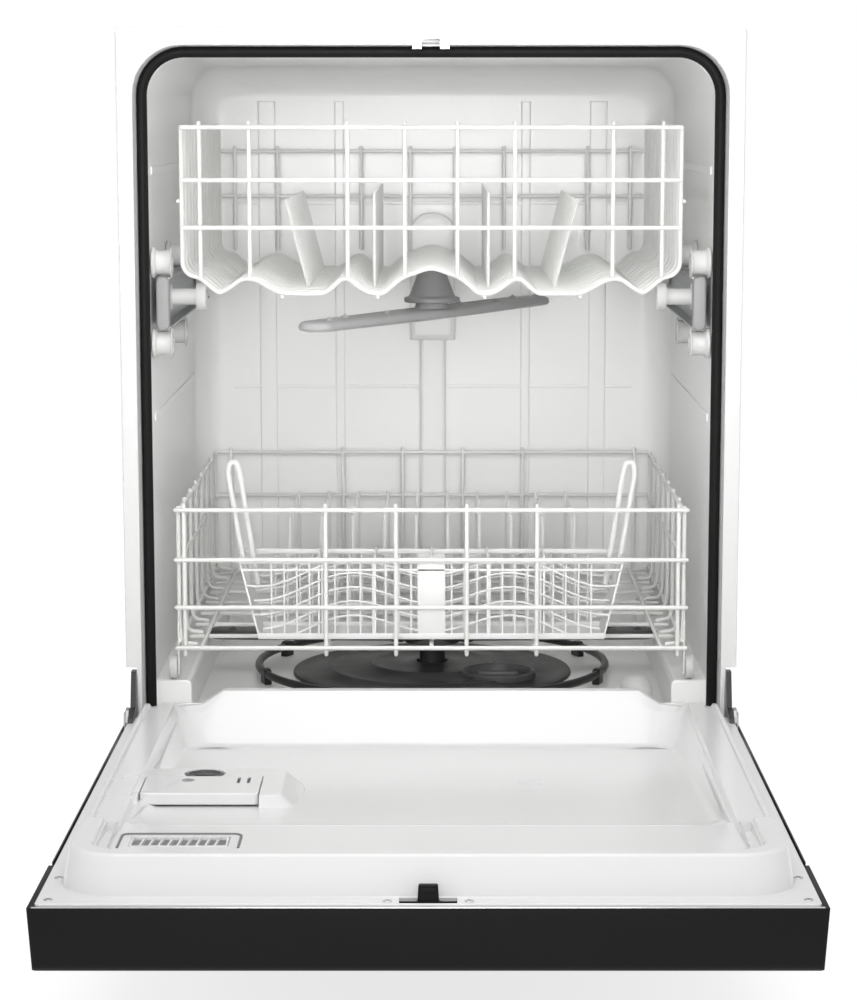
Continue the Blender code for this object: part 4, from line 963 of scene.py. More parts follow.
def makeLowerRack():
    top = lowerFrontBox[1].z - 0.004
    yFront = lowerFrontBox[0].y + wireRadius
    yRear = lowerRearBox[0].y + wireRadius
    first, last = yFront + 2 * wireRadius + 0.001, yRear - 2 * wireRadius - 0.001
    inset = lowerFloor[1].x
    half = inset + 2 * wireRadius + 0.001
    floorZ = lowerFloor[1].z - 0.106
    count = lower["rows"]
    rows = [first + 0.004 + (last - first - 0.008) * k / (count - 1) for k in range(count)]
    cross = []
    for y in rows:
        cross.append([(-inset, y, floorZ), (inset, y, floorZ)])
    for share in (-0.93, -0.42, 0.0, 0.42, 0.93):
        z = floorZ + 1.5 * wireRadius
        cross.append([(share * inset, first, z), (share * inset, last, z)])
    parts = [bendWires(cross, wireRadius, 8)]
    tineTop = lowerFloor[1].z
    tines = []
    for k in range(4):
        y = rows[3 + k]
        for column in range(lower["tineCount"]):
            x = (column - (lower["tineCount"] - 1) / 2) * lower["tinePitch"]
            tines.append([(x, y + 0.0006, floorZ - 0.0005), (x, y + 0.0006, tineTop - 0.002)])
    parts.append(bendWires(tines, lower["tineRod"], 8))
    done(joinAll("lowerFloorWires", parts), "lowerFloorWires", "lower_rack", "rackVinyl",
         "rack_vinyl", "lower_rack_floor")
    levels = [top - drop for drop in lower["topDrop"]]
    paths = gridPaths(yFront, levels, (0.139, 0.414, 0.968), half + 0.002,
                      floorZ - 0.005, wireRadius * 1.4)
    done(bendWires(paths, wireRadius, 10), "lowerFrontGrid", "lower_rack", "rackVinyl",
         "rack_vinyl", "lower_rack_front")
    paths = gridPaths(yRear, (levels[0], levels[1], levels[3]), (0.139, 0.414, 0.930), half,
                      floorZ - 0.003, -wireRadius * 0.2)
    done(bendWires(paths, wireRadius, 10), "lowerRearGrid", "lower_rack", "rackVinyl",
         "rack_vinyl", "lower_rack_rear")
    for side, sign in (("left", -1), ("right", 1)):
        x = sign * half
        runs = []
        for z in (levels[0] - 0.003, levels[1] - 0.003, floorZ + 0.008):
            runs.append([(x, first, z), (x, last, z)])
        parts = [bendWires(runs, wireRadius, 8)]
        uprights = []
        for y in rows:
            inner = x - sign * 0.016
            path = [(inner, y, floorZ + 0.0044), (x - sign * 0.002, y, floorZ + 0.0060),
                    (x, y, floorZ + 0.022), (x, y, levels[0] + 0.001)]
            uprights.append(roundedPath(path, 0.010, 4))
        parts.append(bendWires(uprights, wireRadius * 0.96, 8))
        for place in ("front", "rear"):
            low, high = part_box(f"lower_wheel_{place}_{side}")
            middle = (low + high) / 2
            a, b = sorted((x, sign * (half + 0.0020)))
            plate = addBox((a, middle.y - 0.0085, middle.z - 0.007),
                           (b, middle.y + 0.0085, floorZ + 0.030))
            pickFaces(plate, lambda c, n: n.z > 0.9)
            bpy.ops.transform.resize(value=(1, 0.55, 1), center_override=(x, middle.y, middle.z))
            leaveEdit()
            bevelEdges(plate, lambda c, d: abs(d.x) > 0.9, 0.003, 3)
            bevelEdges(plate, lambda c, d: abs(d.x) < 0.5, 0.0005, 1)
            parts.append(plate)
            pin = addRound(0.0032, min(x, sign * (half + 0.0022)), max(x, sign * (half + 0.0022)),
                           (0, middle.y, middle.z), "X", 16)
            bevelEdges(pin, lambda c, d: abs(d.x) < 0.5, 0.0003, 1)
            parts.append(pin)
        done(joinAll(f"lowerSide-{side}", parts), f"lowerSide-{side}", "lower_rack",
             "rackVinyl", "rack_vinyl", f"lower_rack_{side}")


makeLowerRack()
print("lower rack made")


basket = {"wall": 0.0022, "pitch": 0.0127, "rib": 0.0011, "taper": 0.020, "panel": 0.014,
          "rimTall": 0.0048, "footTall": 0.0062, "cells": 6, "handle": 0.0028}


def latticeSide(y, thick, halfAt, low, high):
    # one long side: rims, upright ribs and the swept cross bars
    parts = []
    lift = basket["footTall"]

    def plank(loX, hiX, loZ, hiZ, grow=0.0):
        piece = addBox((loX, y - thick / 2 - grow, loZ), (hiX, y + thick / 2 + grow, hiZ))
        for v in piece.data.vertices:
            if abs(abs(v.co.x) - hiX) < 1e-6 and hiX > 0.1:
                v.co.x = math.copysign(halfAt(v.co.z), v.co.x)
        bevelEdges(piece, lambda c, d: True, 0.0006, 2)
        return piece

    parts.append(plank(-halfAt(high), halfAt(high), high - basket["rimTall"], high, 0.0008))
    parts.append(plank(-halfAt(high - 0.008), halfAt(high - 0.008), high - 0.0125, high - 0.0100))
    parts.append(plank(-halfAt(low + lift), halfAt(low + lift), low, low + lift, 0.0005))
    parts.append(plank(-basket["panel"], basket["panel"], low + 0.004, high - 0.003))
    bars = []
    count = int(halfAt(high) / basket["pitch"])
    for k in range(1, count + 1):
        for side in (-1, 1):
            x = side * (basket["panel"] + (k - 0.5) * basket["pitch"])
            if abs(x) < halfAt(low) - 0.003:
                bars.append([(x, y, low + 0.003), (x, y, high - 0.003)])
    for side in (-1, 1):
        for k in range(5):
            path = []
            for n in range(21):
                t = n / 20
                x = basket["panel"] + (halfAt(high - 0.03) - basket["panel"]) * t
                base = low + 0.012 + (high - low - 0.024) * k / 4
                sweep = 0.011 * math.sin(math.pi * 2 * (t - 0.15)) + 0.012 * (0.5 - t)
                z = min(max(base + sweep, low + 0.004), high - 0.004)
                if x <= halfAt(z):
                    path.append((side * x, y, z))
            bars.append(path)
    parts.append(bendWires(bars, basket["rib"], 6, False))
    return parts


def makeBasket():
    low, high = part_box("silverware_basket")
    bottom = low.z
    wide = high.x - 0.012 - 0.003
    near, far = low.y, high.y
    top = bottom + 0.0815
    half = round(wide, 4)
    taper = basket["taper"]

    def halfAt(z):
        return half - taper * (1 - (z - bottom) / (top - bottom))

    wall = basket["wall"]
    parts = latticeSide(near + wall / 2 + 0.0008, wall, halfAt, bottom, top)
    parts += latticeSide(far - wall / 2 - 0.0008, wall, halfAt, bottom, top)
    base = addBox((-halfAt(bottom) + 0.001, near + 0.001, bottom),
                  (halfAt(bottom) - 0.001, far - 0.001, bottom + 0.002))
    bevelEdges(base, lambda c, d: True, 0.0006, 1)
    parts.append(base)
    inner = half - taper - 2 * wall
    for k in range(basket["cells"] + 1):
        x = -inner + 2 * inner * k / basket["cells"]
        end = k in (0, basket["cells"])
        wallX = addBox((x - 0.0009, near + 0.002, bottom + 0.001),
                       (x + 0.0009, far - 0.002, top + (0 if end else 0.003)))
        if end:
            for v in wallX.data.vertices:
                v.co.x = math.copysign(halfAt(v.co.z) - 0.001, v.co.x) \
                    + (0.0009 if v.co.x > x else -0.0009)
        bevelEdges(wallX, lambda c, d: c.z > top - 0.002, 0.0007, 2)
        parts.append(wallX)
    middle = (near + far) / 2
    loops = []
    for sign in (-1, 1):
        foot, tip = half - 0.007, half + 0.012
        path = [(foot, top - 0.030), (tip - 0.0005, top + 0.083), (tip - 0.003, top + 0.0928),
                (tip - 0.0095, top + 0.0928), (tip - 0.0125, top + 0.083),
                (foot - 0.0105, top - 0.030)]
        loops.append(roundedPath([(sign * x, middle, z) for x, z in path], 0.006, 4))
    parts.append(bendWires(loops, basket["handle"], 10))
    done(joinAll("silverwareBasket", parts), "silverwareBasket", "silverware_basket",
         "basketWhite", "rack_vinyl", "silverware_basket")


makeBasket()
print("basket made")


floorParts = {"rod": 0.0042, "ring": 0.187}


def makeFloorParts():
    # heater, filter plate, cup and float on the tub floor
    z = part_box("heating_element")[1].z - 0.004
    centre = armCentre
    loop = []
    for k in range(57):
        angle = math.radians(-258 + 336 * k / 56)
        loop.append((floorParts["ring"] * math.cos(angle),
                     centre + floorParts["ring"] * math.sin(angle), z))
    ends = [(p[0], p[1], tub["floor"] + 0.0006) for p in (loop[0], loop[-1])]
    path = [ends[0]] + loop + [ends[1]]
    parts = [bendWires([path], floorParts["rod"], 12, False)]
    for angle in (200, 250, 290, 340, 30, 150):
        a = math.radians(angle)
        spot = Vector((floorParts["ring"] * math.cos(a),
                       centre + floorParts["ring"] * math.sin(a), 0))
        clip = addBox((-0.004, -0.0075, tub["floor"]), (0.004, 0.0075, z + 0.0058))
        bevelEdges(clip, lambda c, d: abs(d.x) > 0.9 and c.z > z, 0.0045, 4)
        bevelEdges(clip, lambda c, d: abs(c.x) > 0.003, 0.0008, 1)
        clip.rotation_euler = (0, 0, a)
        clip.location = spot
        applyPlace(clip)
        parts.append(clip)
    for spot in ends:
        parts.append(spinProfile([(0, 0.006), (0.0075, 0.006), (0.009, 0.0045), (0.009, 0),
                                  (0, 0)], (spot[0], spot[1], tub["floor"]), "Z", 6))
    done(joinAll("heatingRing", parts), "heatingRing", "root", "enamelBlack",
         "dark_plastic", "heating_element")

    low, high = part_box("filter_plate")
    radius = high.x
    base = low.z
    plate = spinProfile([(0.0172, 0.0), (0.0172, 0.0125), (0.022, 0.0128), (0.026, 0.0110),
                         (0.060, 0.0104), (0.0630, 0.0116), (0.0670, 0.0116), (0.0700, 0.0098),
                         (0.105, 0.0072), (0.1080, 0.0082), (0.1120, 0.0080), (0.1140, 0.0062),
                         (radius - 0.010, 0.0040), (radius - 0.006, 0.0046),
                         (radius - 0.001, 0.0034), (radius, 0.0020), (radius, 0.0)],
                        (0, centre, base), "Z", 72, True)
    spotLow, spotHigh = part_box("filter_cup")
    cupAt = (spotLow + spotHigh) / 2
    cupRadius = (spotHigh.x - spotLow.x) / 2
    carve(plate, addRound(cupRadius + 0.0006, base - 0.01, base + 0.03,
                          (cupAt.x, cupAt.y, 0), "Z", 48))
    done(plate, "filterPlate", "root", "sumpDark", "dark_plastic", "filter_plate")
    cup = spinProfile([(0, 0.0030), (0.014, 0.0030), (0.016, 0.0046), (0.018, 0.0046),
                       (0.020, 0.0030), (cupRadius - 0.005, 0.0030),
                       (cupRadius - 0.0042, 0.0105), (cupRadius - 0.003, 0.0120),
                       (cupRadius - 0.001, 0.0120), (cupRadius, 0.0110), (cupRadius, 0),
                       (0, 0)], (cupAt.x, cupAt.y, spotLow.z), "Z", 48)
    grip = addBox((cupAt.x - 0.022, cupAt.y - 0.0025, spotLow.z + 0.002),
                  (cupAt.x + 0.022, cupAt.y + 0.0025, spotLow.z + 0.0105))
    bevelEdges(grip, lambda c, d: True, 0.0015, 2)
    done(joinAll("filterCup", [cup, grip]), "filterCup", "root", "hubDark",
         "dark_plastic", "filter_cup")

    low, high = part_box("float_dome")
    spot = (low + high) / 2
    r = high.x - spot.x
    h = high.z - tub["floor"]
    dome = spinProfile([(0, h), (r * 0.35, h - 0.0006), (r * 0.62, h - 0.0026),
                        (r * 0.85, h - 0.0066), (r * 0.97, h - 0.0115), (r, h - 0.016),
                        (r, 0.0060), (r - 0.0008, 0.0044), (0.0045, 0.0040),
                        (0.0045, -0.0150), (0.0035, -0.0160), (0, -0.0160)],
                       (spot.x, spot.y, tub["floor"]), "Z", 32)
    done(dome, "floatDome", "float", "rollerWhite", "roller_plastic", "float_dome")


makeFloorParts()
print("floor parts made")


door = {"foot": 0.0025, "corner": 0.040, "deep": 0.045, "shallow": 0.007, "trackDrop": 0.008,
        "groove": 0.0030, "pocket": 0.0070, "sheet": 0.0025, "lip": 0.0005,
        "lipOuter": 0.225, "lipInner": 0.203, "trackStart": 0.150, "basin": 0.137}


def makeLiner():
    # margin, raised rim with its side tracks, the console platform and the sloping basin
    low, high = linerLow, linerHigh
    near, far = low.y, high.y
    start = near - 0.003
    plane = consoleHigh.z + 0.0029
    rimTop = high.z
    sheet = door["sheet"]
    stopA, stopB = start + door["trackStart"], start + door["trackStart"] + 0.010
    pocket = (start + 0.062, stopA - 0.004)
    stops = (pocket[0], pocket[0] + 0.001, pocket[1], pocket[1] + 0.0008,
             stopA, stopA + 0.0008, stopB, stopB + 0.004)
    outer, inner = door["lipOuter"], door["lipInner"]
    across = (outer, inner, 0.5 * inner, 0.0, -0.5 * inner, -inner, -outer)
    lowNear = start + door["basin"]
    foot = halfMouth - door["foot"]
    shallow, deep = rimTop - door["shallow"], rimTop - door["deep"]

    def share(y):
        return min(max((y - stopA) / (stopB - stopA), 0.0), 1.0)

    def lip(x, y):
        # the middle of the hinge end stands up, with a ramp at each side
        if y < far - 0.05:
            return 0.0
        return min(max((outer - abs(x)) / (outer - inner), 0.0), 1.0)

    def rim(x, y):
        track = rimTop - door["trackDrop"] * share(y)
        if y > far - 0.03:
            track -= 0.006
        return track + (rimTop + door["lip"] - track) * lip(x, y)

    def groove(x, y):
        # a channel along the tracks
        if abs(x) < halfMouth - 0.055:
            return rim(x, y)
        return rim(x, y) - door["groove"] * share(y)

    def flat(x, y):
        return plane

    def basin(x, y):
        return min(rim(x, y), shallow + 0.0035 + (door["lip"] + 0.0035) * lip(x, y))

    def pit(x, y):
        # a wedge-shaped pocket between the rim and the platform
        if pocket[0] <= y <= pocket[1] + 0.0001 and abs(x) > halfMouth - 0.055:
            along = (y - pocket[0]) / (pocket[1] - pocket[0])
            return basin(x, y) - door["pocket"] * (0.15 + 0.85 * along)
        return basin(x, y)

    def floor(x, y):
        t = (y - lowNear) / (far - 0.065 - lowNear)
        return shallow + (deep - shallow) * min(max(t, 0.0), 1.0)

    def slope(x, y):
        return max(floor(x, y), min(basin(x, y), rimTop) - 0.012)

    def bank(x, y):
        return min(basin(x, y), shallow + 0.003 + 0.006 * lip(x, y)) - 0.004 * share(y)

    corner = door["corner"]
    # from under the basin outwards, round the margin, and over the rim back into the basin
    rings = (
        (foot - 0.0680, lowNear + 0.0300, far - 0.0800, corner - 0.015,
         lambda x, y: floor(x, y) - sheet),
        (foot - 0.0500, lowNear + 0.0090, far - 0.0620, corner - 0.014,
         lambda x, y: floor(x, y) - sheet),
        (foot - 0.0440, lowNear + 0.0050, far - 0.0535, corner - 0.013,
         lambda x, y: floor(x, y) + 0.0022 - sheet),
        (foot - 0.0360, lowNear + 0.0005, far - 0.0275, corner - 0.012,
         lambda x, y: slope(x, y) - sheet),
        (foot - 0.0326, lowNear - 0.0025, far - 0.0195, corner - 0.012,
         lambda x, y: min(bank(x, y), pit(x, y)) - sheet),
        (foot - 0.0210, start + 0.0480, far - 0.0120, corner - 0.011,
         lambda x, y: min(rim(x, y) - 0.012, basin(x, y) - sheet)),
        (foot - 0.0070, start + 0.0365, far - 0.0060, corner, lambda x, y: rim(x, y) - 0.012),
        (foot - 0.0030, start + 0.0225, far - 0.0035, corner + 0.004,
         lambda x, y: plane - 0.0009),
        (foot - 0.0010, start + 0.0210, far - 0.0030, corner + 0.004,
         lambda x, y: plane - 0.0024),
        (linerHigh.x, near, far, 0.004, lambda x, y: plane - 0.0024),
        (linerHigh.x, near, far, 0.004, lambda x, y: plane - 0.0006),
        (linerHigh.x - 0.0006, near + 0.0006, far - 0.0002, 0.004, flat),
        (foot + 0.0016, start + 0.0180, far - 0.0006, corner + 0.004, flat),
        (foot, start + 0.0200, far - 0.0010, corner + 0.004, lambda x, y: plane + 0.0016),
        (foot - 0.0035, start + 0.0340, far - 0.0030, corner, lambda x, y: rim(x, y) - 0.0025),
        (foot - 0.0045, start + 0.0358, far - 0.0036, corner, lambda x, y: rim(x, y) - 0.0006),
        (foot - 0.0060, start + 0.0375, far - 0.0045, corner - 0.001, rim),
        (foot - 0.0085, start + 0.0400, far - 0.0065, corner - 0.002, rim),
        (foot - 0.0092, start + 0.0408, far - 0.0070, corner - 0.003, groove),
        (foot - 0.0180, start + 0.0462, far - 0.0100, corner - 0.0065, groove),
        (foot - 0.0187, start + 0.0468, far - 0.0105, corner - 0.007, rim),
        (foot - 0.0205, start + 0.0475, far - 0.0118, corner - 0.010, rim),
        (foot - 0.0220, start + 0.0485, far - 0.0130, corner - 0.011,
         lambda x, y: min(rim(x, y), max(rim(x, y) - 0.0012, basin(x, y)))),
        (foot - 0.0232, start + 0.0500, far - 0.0142, corner - 0.012, basin),
        (foot - 0.0240, start + 0.0506, far - 0.0146, corner - 0.012, basin),
        (foot - 0.0246, start + 0.0509, far - 0.0149, corner - 0.0122, pit),
        (foot - 0.0325, start + 0.0540, far - 0.0172, corner - 0.013, pit),
        (foot - 0.0331, start + 0.0543, far - 0.0176, corner - 0.013, basin),
        (foot - 0.0352, lowNear, far - 0.0220, corner - 0.013, bank),
        (foot - 0.0385, lowNear + 0.0030, far - 0.0300, corner - 0.013, slope),
        (foot - 0.0470, lowNear + 0.0080, far - 0.0560, corner - 0.013,
         lambda x, y: floor(x, y) + 0.0022),
        (foot - 0.0540, lowNear + 0.0120, far - 0.0650, corner - 0.014, floor),
        (foot - 0.0680, lowNear + 0.0300, far - 0.0800, corner - 0.015, floor),
    )
    loops = []
    for half, a, b, radius, height in rings:
        loops.append(roundLoop(half, a, b, max(radius, 0.003), height, 8, 0.0, stops, across))
    liner = loftLoops(loops, True, True)
    tools = [addBox((-0.022, start + 0.005, plane - 0.01),
                    (0.022, start + 0.0185, plane + 0.001))]
    houseLow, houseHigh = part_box("dispenser_housing")
    tools.append(addBox((houseLow.x - 0.0004, houseLow.y - 0.0004, houseLow.z),
                        (houseHigh.x + 0.0004, houseHigh.y + 0.0004, rimTop + 0.02)))
    ventLow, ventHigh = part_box("vent_grille")
    tools.append(addBox((ventLow.x - 0.0004, ventLow.y - 0.0004, ventLow.z),
                        (ventHigh.x + 0.0004, ventHigh.y + 0.0004, rimTop + 0.02)))
    carve(liner, *tools)
    evenShade(liner)
    done(liner, "doorLiner", "door", "doorWhite", "door_white", "door_liner")
    return start, plane, rimTop, shallow, deep


doorStart, doorPlane, rimTop, shallowFloor, deepFloor = makeLiner()
print("liner made")


mound = {"left": 0.006, "right": 0.019, "hinge": 0.031, "console": 0.0045, "spread": 0.016,
         "gap": 0.0009, "capX": 0.049, "capY": 0.0115, "capRadius": 0.0175}


def makeDispenser():
    lidLow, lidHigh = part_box("dispenser_lid")
    houseLow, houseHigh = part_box("dispenser_housing")
    top = lidHigh.z - 0.0006
    base = shallowFloor - (shallowFloor - deepFloor) * 0.42
    x0, x1 = lidLow.x - mound["left"], lidHigh.x + mound["right"]
    y0, y1 = lidLow.y - mound["console"], lidHigh.y + mound["hinge"]

    def ring(grow, z, radius, skew=0.0):
        cx = (x0 + x1) / 2
        half = (x1 - x0) / 2 + grow
        return roundLoop(half, y0 - grow * 0.55 - skew, y1 + grow, radius,
                         lambda x, y: z, 6, cx)

    loops = [ring(mound["spread"], base - 0.004, 0.022), ring(mound["spread"], base, 0.022),
             ring(0.0150, base + (top - base) * 0.16, 0.019),
             ring(0.0030, base + (top - base) * 0.80, 0.012),
             ring(0.0008, top - 0.0012, 0.010), ring(-0.0010, top, 0.009)]
    body_ = loftLoops(loops, True, True)
    gap = mound["gap"]
    # the lid lies in a recess that is open towards the console
    recess = addBox((lidLow.x - gap, y0 - 0.03, lidLow.z - 0.0022),
                    (lidHigh.x + gap, lidHigh.y + gap, top + 0.01))
    cup = addBox((lidLow.x + 0.005, lidLow.y + 0.005, houseLow.z + 0.006),
                 (lidHigh.x - 0.005, lidHigh.y - 0.005, top + 0.01))
    bevelEdges(cup, lambda c, d: abs(d.z) > 0.9, 0.006, 4)
    tray = addBox((houseLow.x, houseLow.y, houseLow.z), (houseHigh.x, houseHigh.y, base + 0.001))
    bevelEdges(tray, lambda c, d: abs(d.z) > 0.9, 0.006, 4)
    weldOn(body_, tray)
    carve(body_, recess, cup)
    # the rinse-aid cap, half of it behind the lid
    capPlace = (lidLow.x + mound["capX"], lidHigh.y + mound["capY"], top)
    carve(body_, addRound(mound["capRadius"], -0.004, 0.01, capPlace, "Z", 48))
    roundOff(body_, 0.0005, 2, 50)
    evenShade(body_)
    done(body_, "dispenserMound", "door", "doorWhite", "door_white", "dispenser_housing")
    r = mound["capRadius"] - 0.0007
    cap = spinProfile([(0, -0.0036), (r, -0.0036), (r, -0.0010), (r - 0.0012, -0.0004),
                       (r - 0.0028, -0.0004), (r - 0.0034, -0.0018), (0, -0.0020)],
                      capPlace, "Z", 48)
    carve(cap, addBox((lidLow.x, lidLow.y, top - 0.02), (lidHigh.x, lidHigh.y + gap, top + 0.01)))
    bar = addBox((capPlace[0] - 0.0085, capPlace[1] - 0.0012, top - 0.003),
                 (capPlace[0] + 0.0085, capPlace[1] + 0.0012, top - 0.0002))
    bevelEdges(bar, lambda c, d: True, 0.0006, 2)
    done(joinAll("rinseCap", [cap, bar]), "rinseCap", "door", "hubDark", "dark_plastic")

    lid = addBox(lidLow, lidHigh)
    bevelEdges(lid, lambda c, d: abs(d.z) > 0.9, 0.0035, 4)
    bevelEdges(lid, lambda c, d: c.z > lidHigh.z - 0.0005, 0.0014, 3)
    insetFaces(lid, lambda c, n: n.z < -0.9, 0.0025)
    extrudeFaces(lid, lambda c, n: n.z < -0.9 and abs(c.x - (lidLow.x + lidHigh.x) / 2) < 0.001
                 and abs(c.y - (lidLow.y + lidHigh.y) / 2) < 0.001, (0, 0, 0.0070))
    # two slots with dark plates in them as painted shade, and a round mark near the hinge side
    tools, slotShadePlates = [], []
    for shift in (0.0790, 0.0875):
        slit = ((lidLow.x + shift, lidHigh.y - 0.026),
                (lidLow.x + shift + 0.0028, lidHigh.y - 0.005))
        tool = addBox((*slit[0], lidHigh.z - 0.0016), (*slit[1], lidHigh.z + 0.01))
        bevelEdges(tool, lambda c, d: abs(d.z) > 0.9, 0.0010, 3)
        tools.append(tool)
        slotShadePlates.append(addBox((slit[0][0] + 0.0001, slit[0][1] + 0.0001, lidHigh.z - 0.0015),
                             (slit[1][0] - 0.0001, slit[1][1] - 0.0001, lidHigh.z - 0.0009)))
    carve(lid, *tools)
    evenShade(lid)
    done(lid, "dispenserLid", "dispenser_lid", "doorWhite", "door_white", "dispenser_lid")
    # the dark plates are painted shade on the slot floors
    done(joinAll("lidSlotShade", slotShadePlates), "lidSlotShade", "dispenser_lid", "sumpDark", "dark_plastic")
    mark = spinProfile([(0, 0.0003), (0.0050, 0.0003), (0.0056, 0), (0.0056, -0.0006),
                        (0, -0.0006)], (lidLow.x + 0.037, lidHigh.y - 0.016, lidHigh.z),
                       "Z", 32)
    done(mark, "lidMark", "dispenser_lid", "capGrey", "grey_plastic")


makeDispenser()
print("dispenser made")


vent = {"slots": 10, "lean": 0.0010}


def makeVent():
    low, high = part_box("vent_grille")
    inner = {"x0": low.x + 0.002, "x1": high.x - 0.002, "y0": low.y + 0.002, "y1": high.y - 0.002}
    plate = addBox(low, (high.x, high.y, high.z - 0.0022))
    bevelEdges(plate, lambda c, d: abs(d.z) > 0.9, 0.002, 2)
    insetFaces(plate, lambda c, n: n.z > 0.9, 0.002, -0.0008)
    done(plate, "ventScreen", "door", "cellGrey", "dark_plastic", "vent_grille")
    ribs = []
    pitch = (inner["x1"] - inner["x0"]) / vent["slots"]
    for k in range(1, vent["slots"]):
        x = inner["x0"] + pitch * k
        rib = addBox((x - 0.0008, inner["y0"], high.z - 0.0042),
                     (x + 0.0008, inner["y1"], high.z - 0.0002))
        for v in rib.data.vertices:
            v.co.x += vent["lean"] if v.co.y > (inner["y0"] + inner["y1"]) / 2 else -vent["lean"]
        bevelEdges(rib, lambda c, d: c.z > high.z - 0.001, 0.0004, 2)
        ribs.append(rib)
    # a frame round the cells
    outer = addBox((low.x, low.y, high.z - 0.0042), (high.x, high.y, high.z))
    hole = addBox((inner["x0"], inner["y0"], high.z - 0.02),
                  (inner["x1"], inner["y1"], high.z + 0.02))
    bevelEdges(hole, lambda c, d: abs(d.z) > 0.9, 0.0015, 3)
    carve(outer, hole)
    roundOff(outer, 0.0004, 2, 50)
    ribs.append(outer)
    done(joinAll("ventRibs", ribs), "ventRibs", "door", "doorWhite", "door_white")
    # a grey rod along the pressed line that runs round three sides of the grille: painted shade in
    # the groove
    grow = 0.0085
    flat = roundedPath([(low.x - grow, low.y - 0.004, 0), (low.x - grow, high.y + grow, 0),
                        (high.x + grow, high.y + grow, 0), (high.x + grow, low.y - 0.004, 0)],
                       0.007, 6)
    z = shallowFloor + 0.0033
    line = bendWires([[(p[0], p[1], z) for p in flat]], 0.0012, 8)
    # the rod's grey is painted shade, not the liner's own colour
    done(line, "ventGroovePaintedShade", "door", "cellGrey", "grey_plastic")


makeVent()
print("vent made")


console = {"wall": 0.003, "taper": 0.0035}


def makeConsole():
    low, high = consoleLow, consoleHigh
    shell = addBox(low, high)
    pickFaces(shell, lambda c, n: n.z < -0.9)
    bpy.ops.transform.resize(value=((high.x - console["taper"]) / high.x, 1, 1),
                             center_override=(0, (low.y + high.y) / 2, low.z))
    leaveEdit()
    bevelEdges(shell, lambda c, d: c.z < low.z + 0.001 and c.y < low.y + 0.001,
               0.008, 6)
    bevelEdges(shell, lambda c, d: c.z < low.z + 0.001 and abs(c.x) > high.x - 0.01, 0.002, 3)
    bevelEdges(shell, lambda c, d: abs(d.z) > 0.7 and c.y < low.y + 0.001, 0.0025, 3)
    bevelEdges(shell, lambda c, d: c.z > high.z - 0.0005 and abs(d.z) < 0.5, 0.0006, 2)
    wall = console["wall"]
    hollow = addBox((low.x + console["taper"] + wall, low.y + wall, low.z + wall),
                    (high.x - console["taper"] - wall, high.y - wall, high.z + 0.01))
    buttonLow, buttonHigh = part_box("start_button")
    hole = addBox((buttonLow.x - 0.0005, buttonLow.y - 0.0005, low.z - 0.01),
                  (buttonHigh.x + 0.0005, buttonHigh.y + 0.0005, low.z + 0.02))
    bevelEdges(hole, lambda c, d: abs(d.z) > 0.9, 0.0034, 4)
    # a long grip recess and a shallow field round the buttons on the outer face
    grip = addBox((-0.105, high.y - 0.036, low.z - 0.01), (0.105, high.y - 0.012, low.z + 0.0018))
    bevelEdges(grip, lambda c, d: abs(d.z) > 0.9, 0.010, 8)
    field = addBox((-0.250, low.y + 0.038, low.z - 0.01), (0.250, low.y + 0.082, low.z + 0.0007))
    bevelEdges(field, lambda c, d: abs(d.z) > 0.9, 0.006, 6)
    carve(shell, hollow, hole, grip, field)
    done(shell, "consoleShell", "door", "consoleBlack", "black_console", "console")
    button = addBox(buttonLow, buttonHigh)
    bevelEdges(button, lambda c, d: abs(d.z) > 0.9, 0.0030, 5)
    bevelEdges(button, lambda c, d: c.z < buttonLow.z + 0.0005, 0.0009, 3)
    insetFaces(button, lambda c, n: n.z < -0.95 and c.z < buttonLow.z + 0.0003, 0.0022, -0.0004)
    done(button, "startButton", "start_button", "capGrey", "grey_plastic", "start_button")
    # the narrow trim line where the liner's margin lies on the console
    edge = bendWires([[(-high.x + 0.0045, low.y + 0.0016, high.z + 0.0002),
                       (high.x - 0.0045, low.y + 0.0016, high.z + 0.0002)]], 0.0009, 8)
    done(edge, "consoleTrim", "door", "brightSteel", "bright_steel")


def makeLatch():
    low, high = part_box("latch_catch")
    neck = addBox((-0.0095, low.y + 0.003, high.z - 0.0330), (0.0095, low.y + 0.0105, high.z))
    pickFaces(neck, lambda c, n: n.z > 0.9)
    bpy.ops.transform.resize(value=(0.78, 0.85, 1), center_override=(0, low.y + 0.0085, high.z))
    leaveEdit()
    bevelEdges(neck, lambda c, d: abs(d.z) > 0.6, 0.0016, 3)
    bevelEdges(neck, lambda c, d: c.z > high.z - 0.0005, 0.0010, 3)
    foot = addBox((low.x, low.y, low.z), (high.x, high.y, low.z + 0.0130))
    bevelEdges(foot, lambda c, d: True, 0.0012, 2)
    tooth = addBox((-0.0050, low.y + 0.0015, high.z - 0.0060),
                   (0.0050, low.y + 0.0040, high.z - 0.0020))
    bevelEdges(tooth, lambda c, d: abs(d.x) > 0.9, 0.0009, 2)
    whole = joinAll("latchCatch", [neck, foot, tooth])
    done(whole, "latchCatch", "latch_catch", "consoleBlack", "black_console", "latch_catch")


def makeScrews():
    places = [(side * 0.288, doorStart + back) for side in (-1, 1) for back in (0.014, 0.076)]
    places += [(-0.031, doorStart + 0.0105), (0.031, doorStart + 0.0105)]
    head = [(0, 0.0008), (0.0022, 0.0008), (0.0032, 0.0006), (0.0037, 0.0003),
            (0.0038, -0.0004), (0, -0.0004)]
    heads = []
    for x, y in places:
        screw = spinProfile(head, (x, y, doorPlane), "Z", 24)
        for turn in (0, math.pi / 2):
            blade = addBox((-0.0020, -0.0004, 0.0002), (0.0020, 0.0004, 0.0040))
            blade.rotation_euler = (0, 0, turn + 0.4)
            blade.location = (x, y, doorPlane)
            applyPlace(blade)
            carve(screw, blade)
        heads.append(screw)
    done(joinAll("linerScrews", heads), "linerScrews", "door", "brightSteel", "bright_steel")


makeConsole()
makeLatch()
makeScrews()
print("console, latch and screws made")


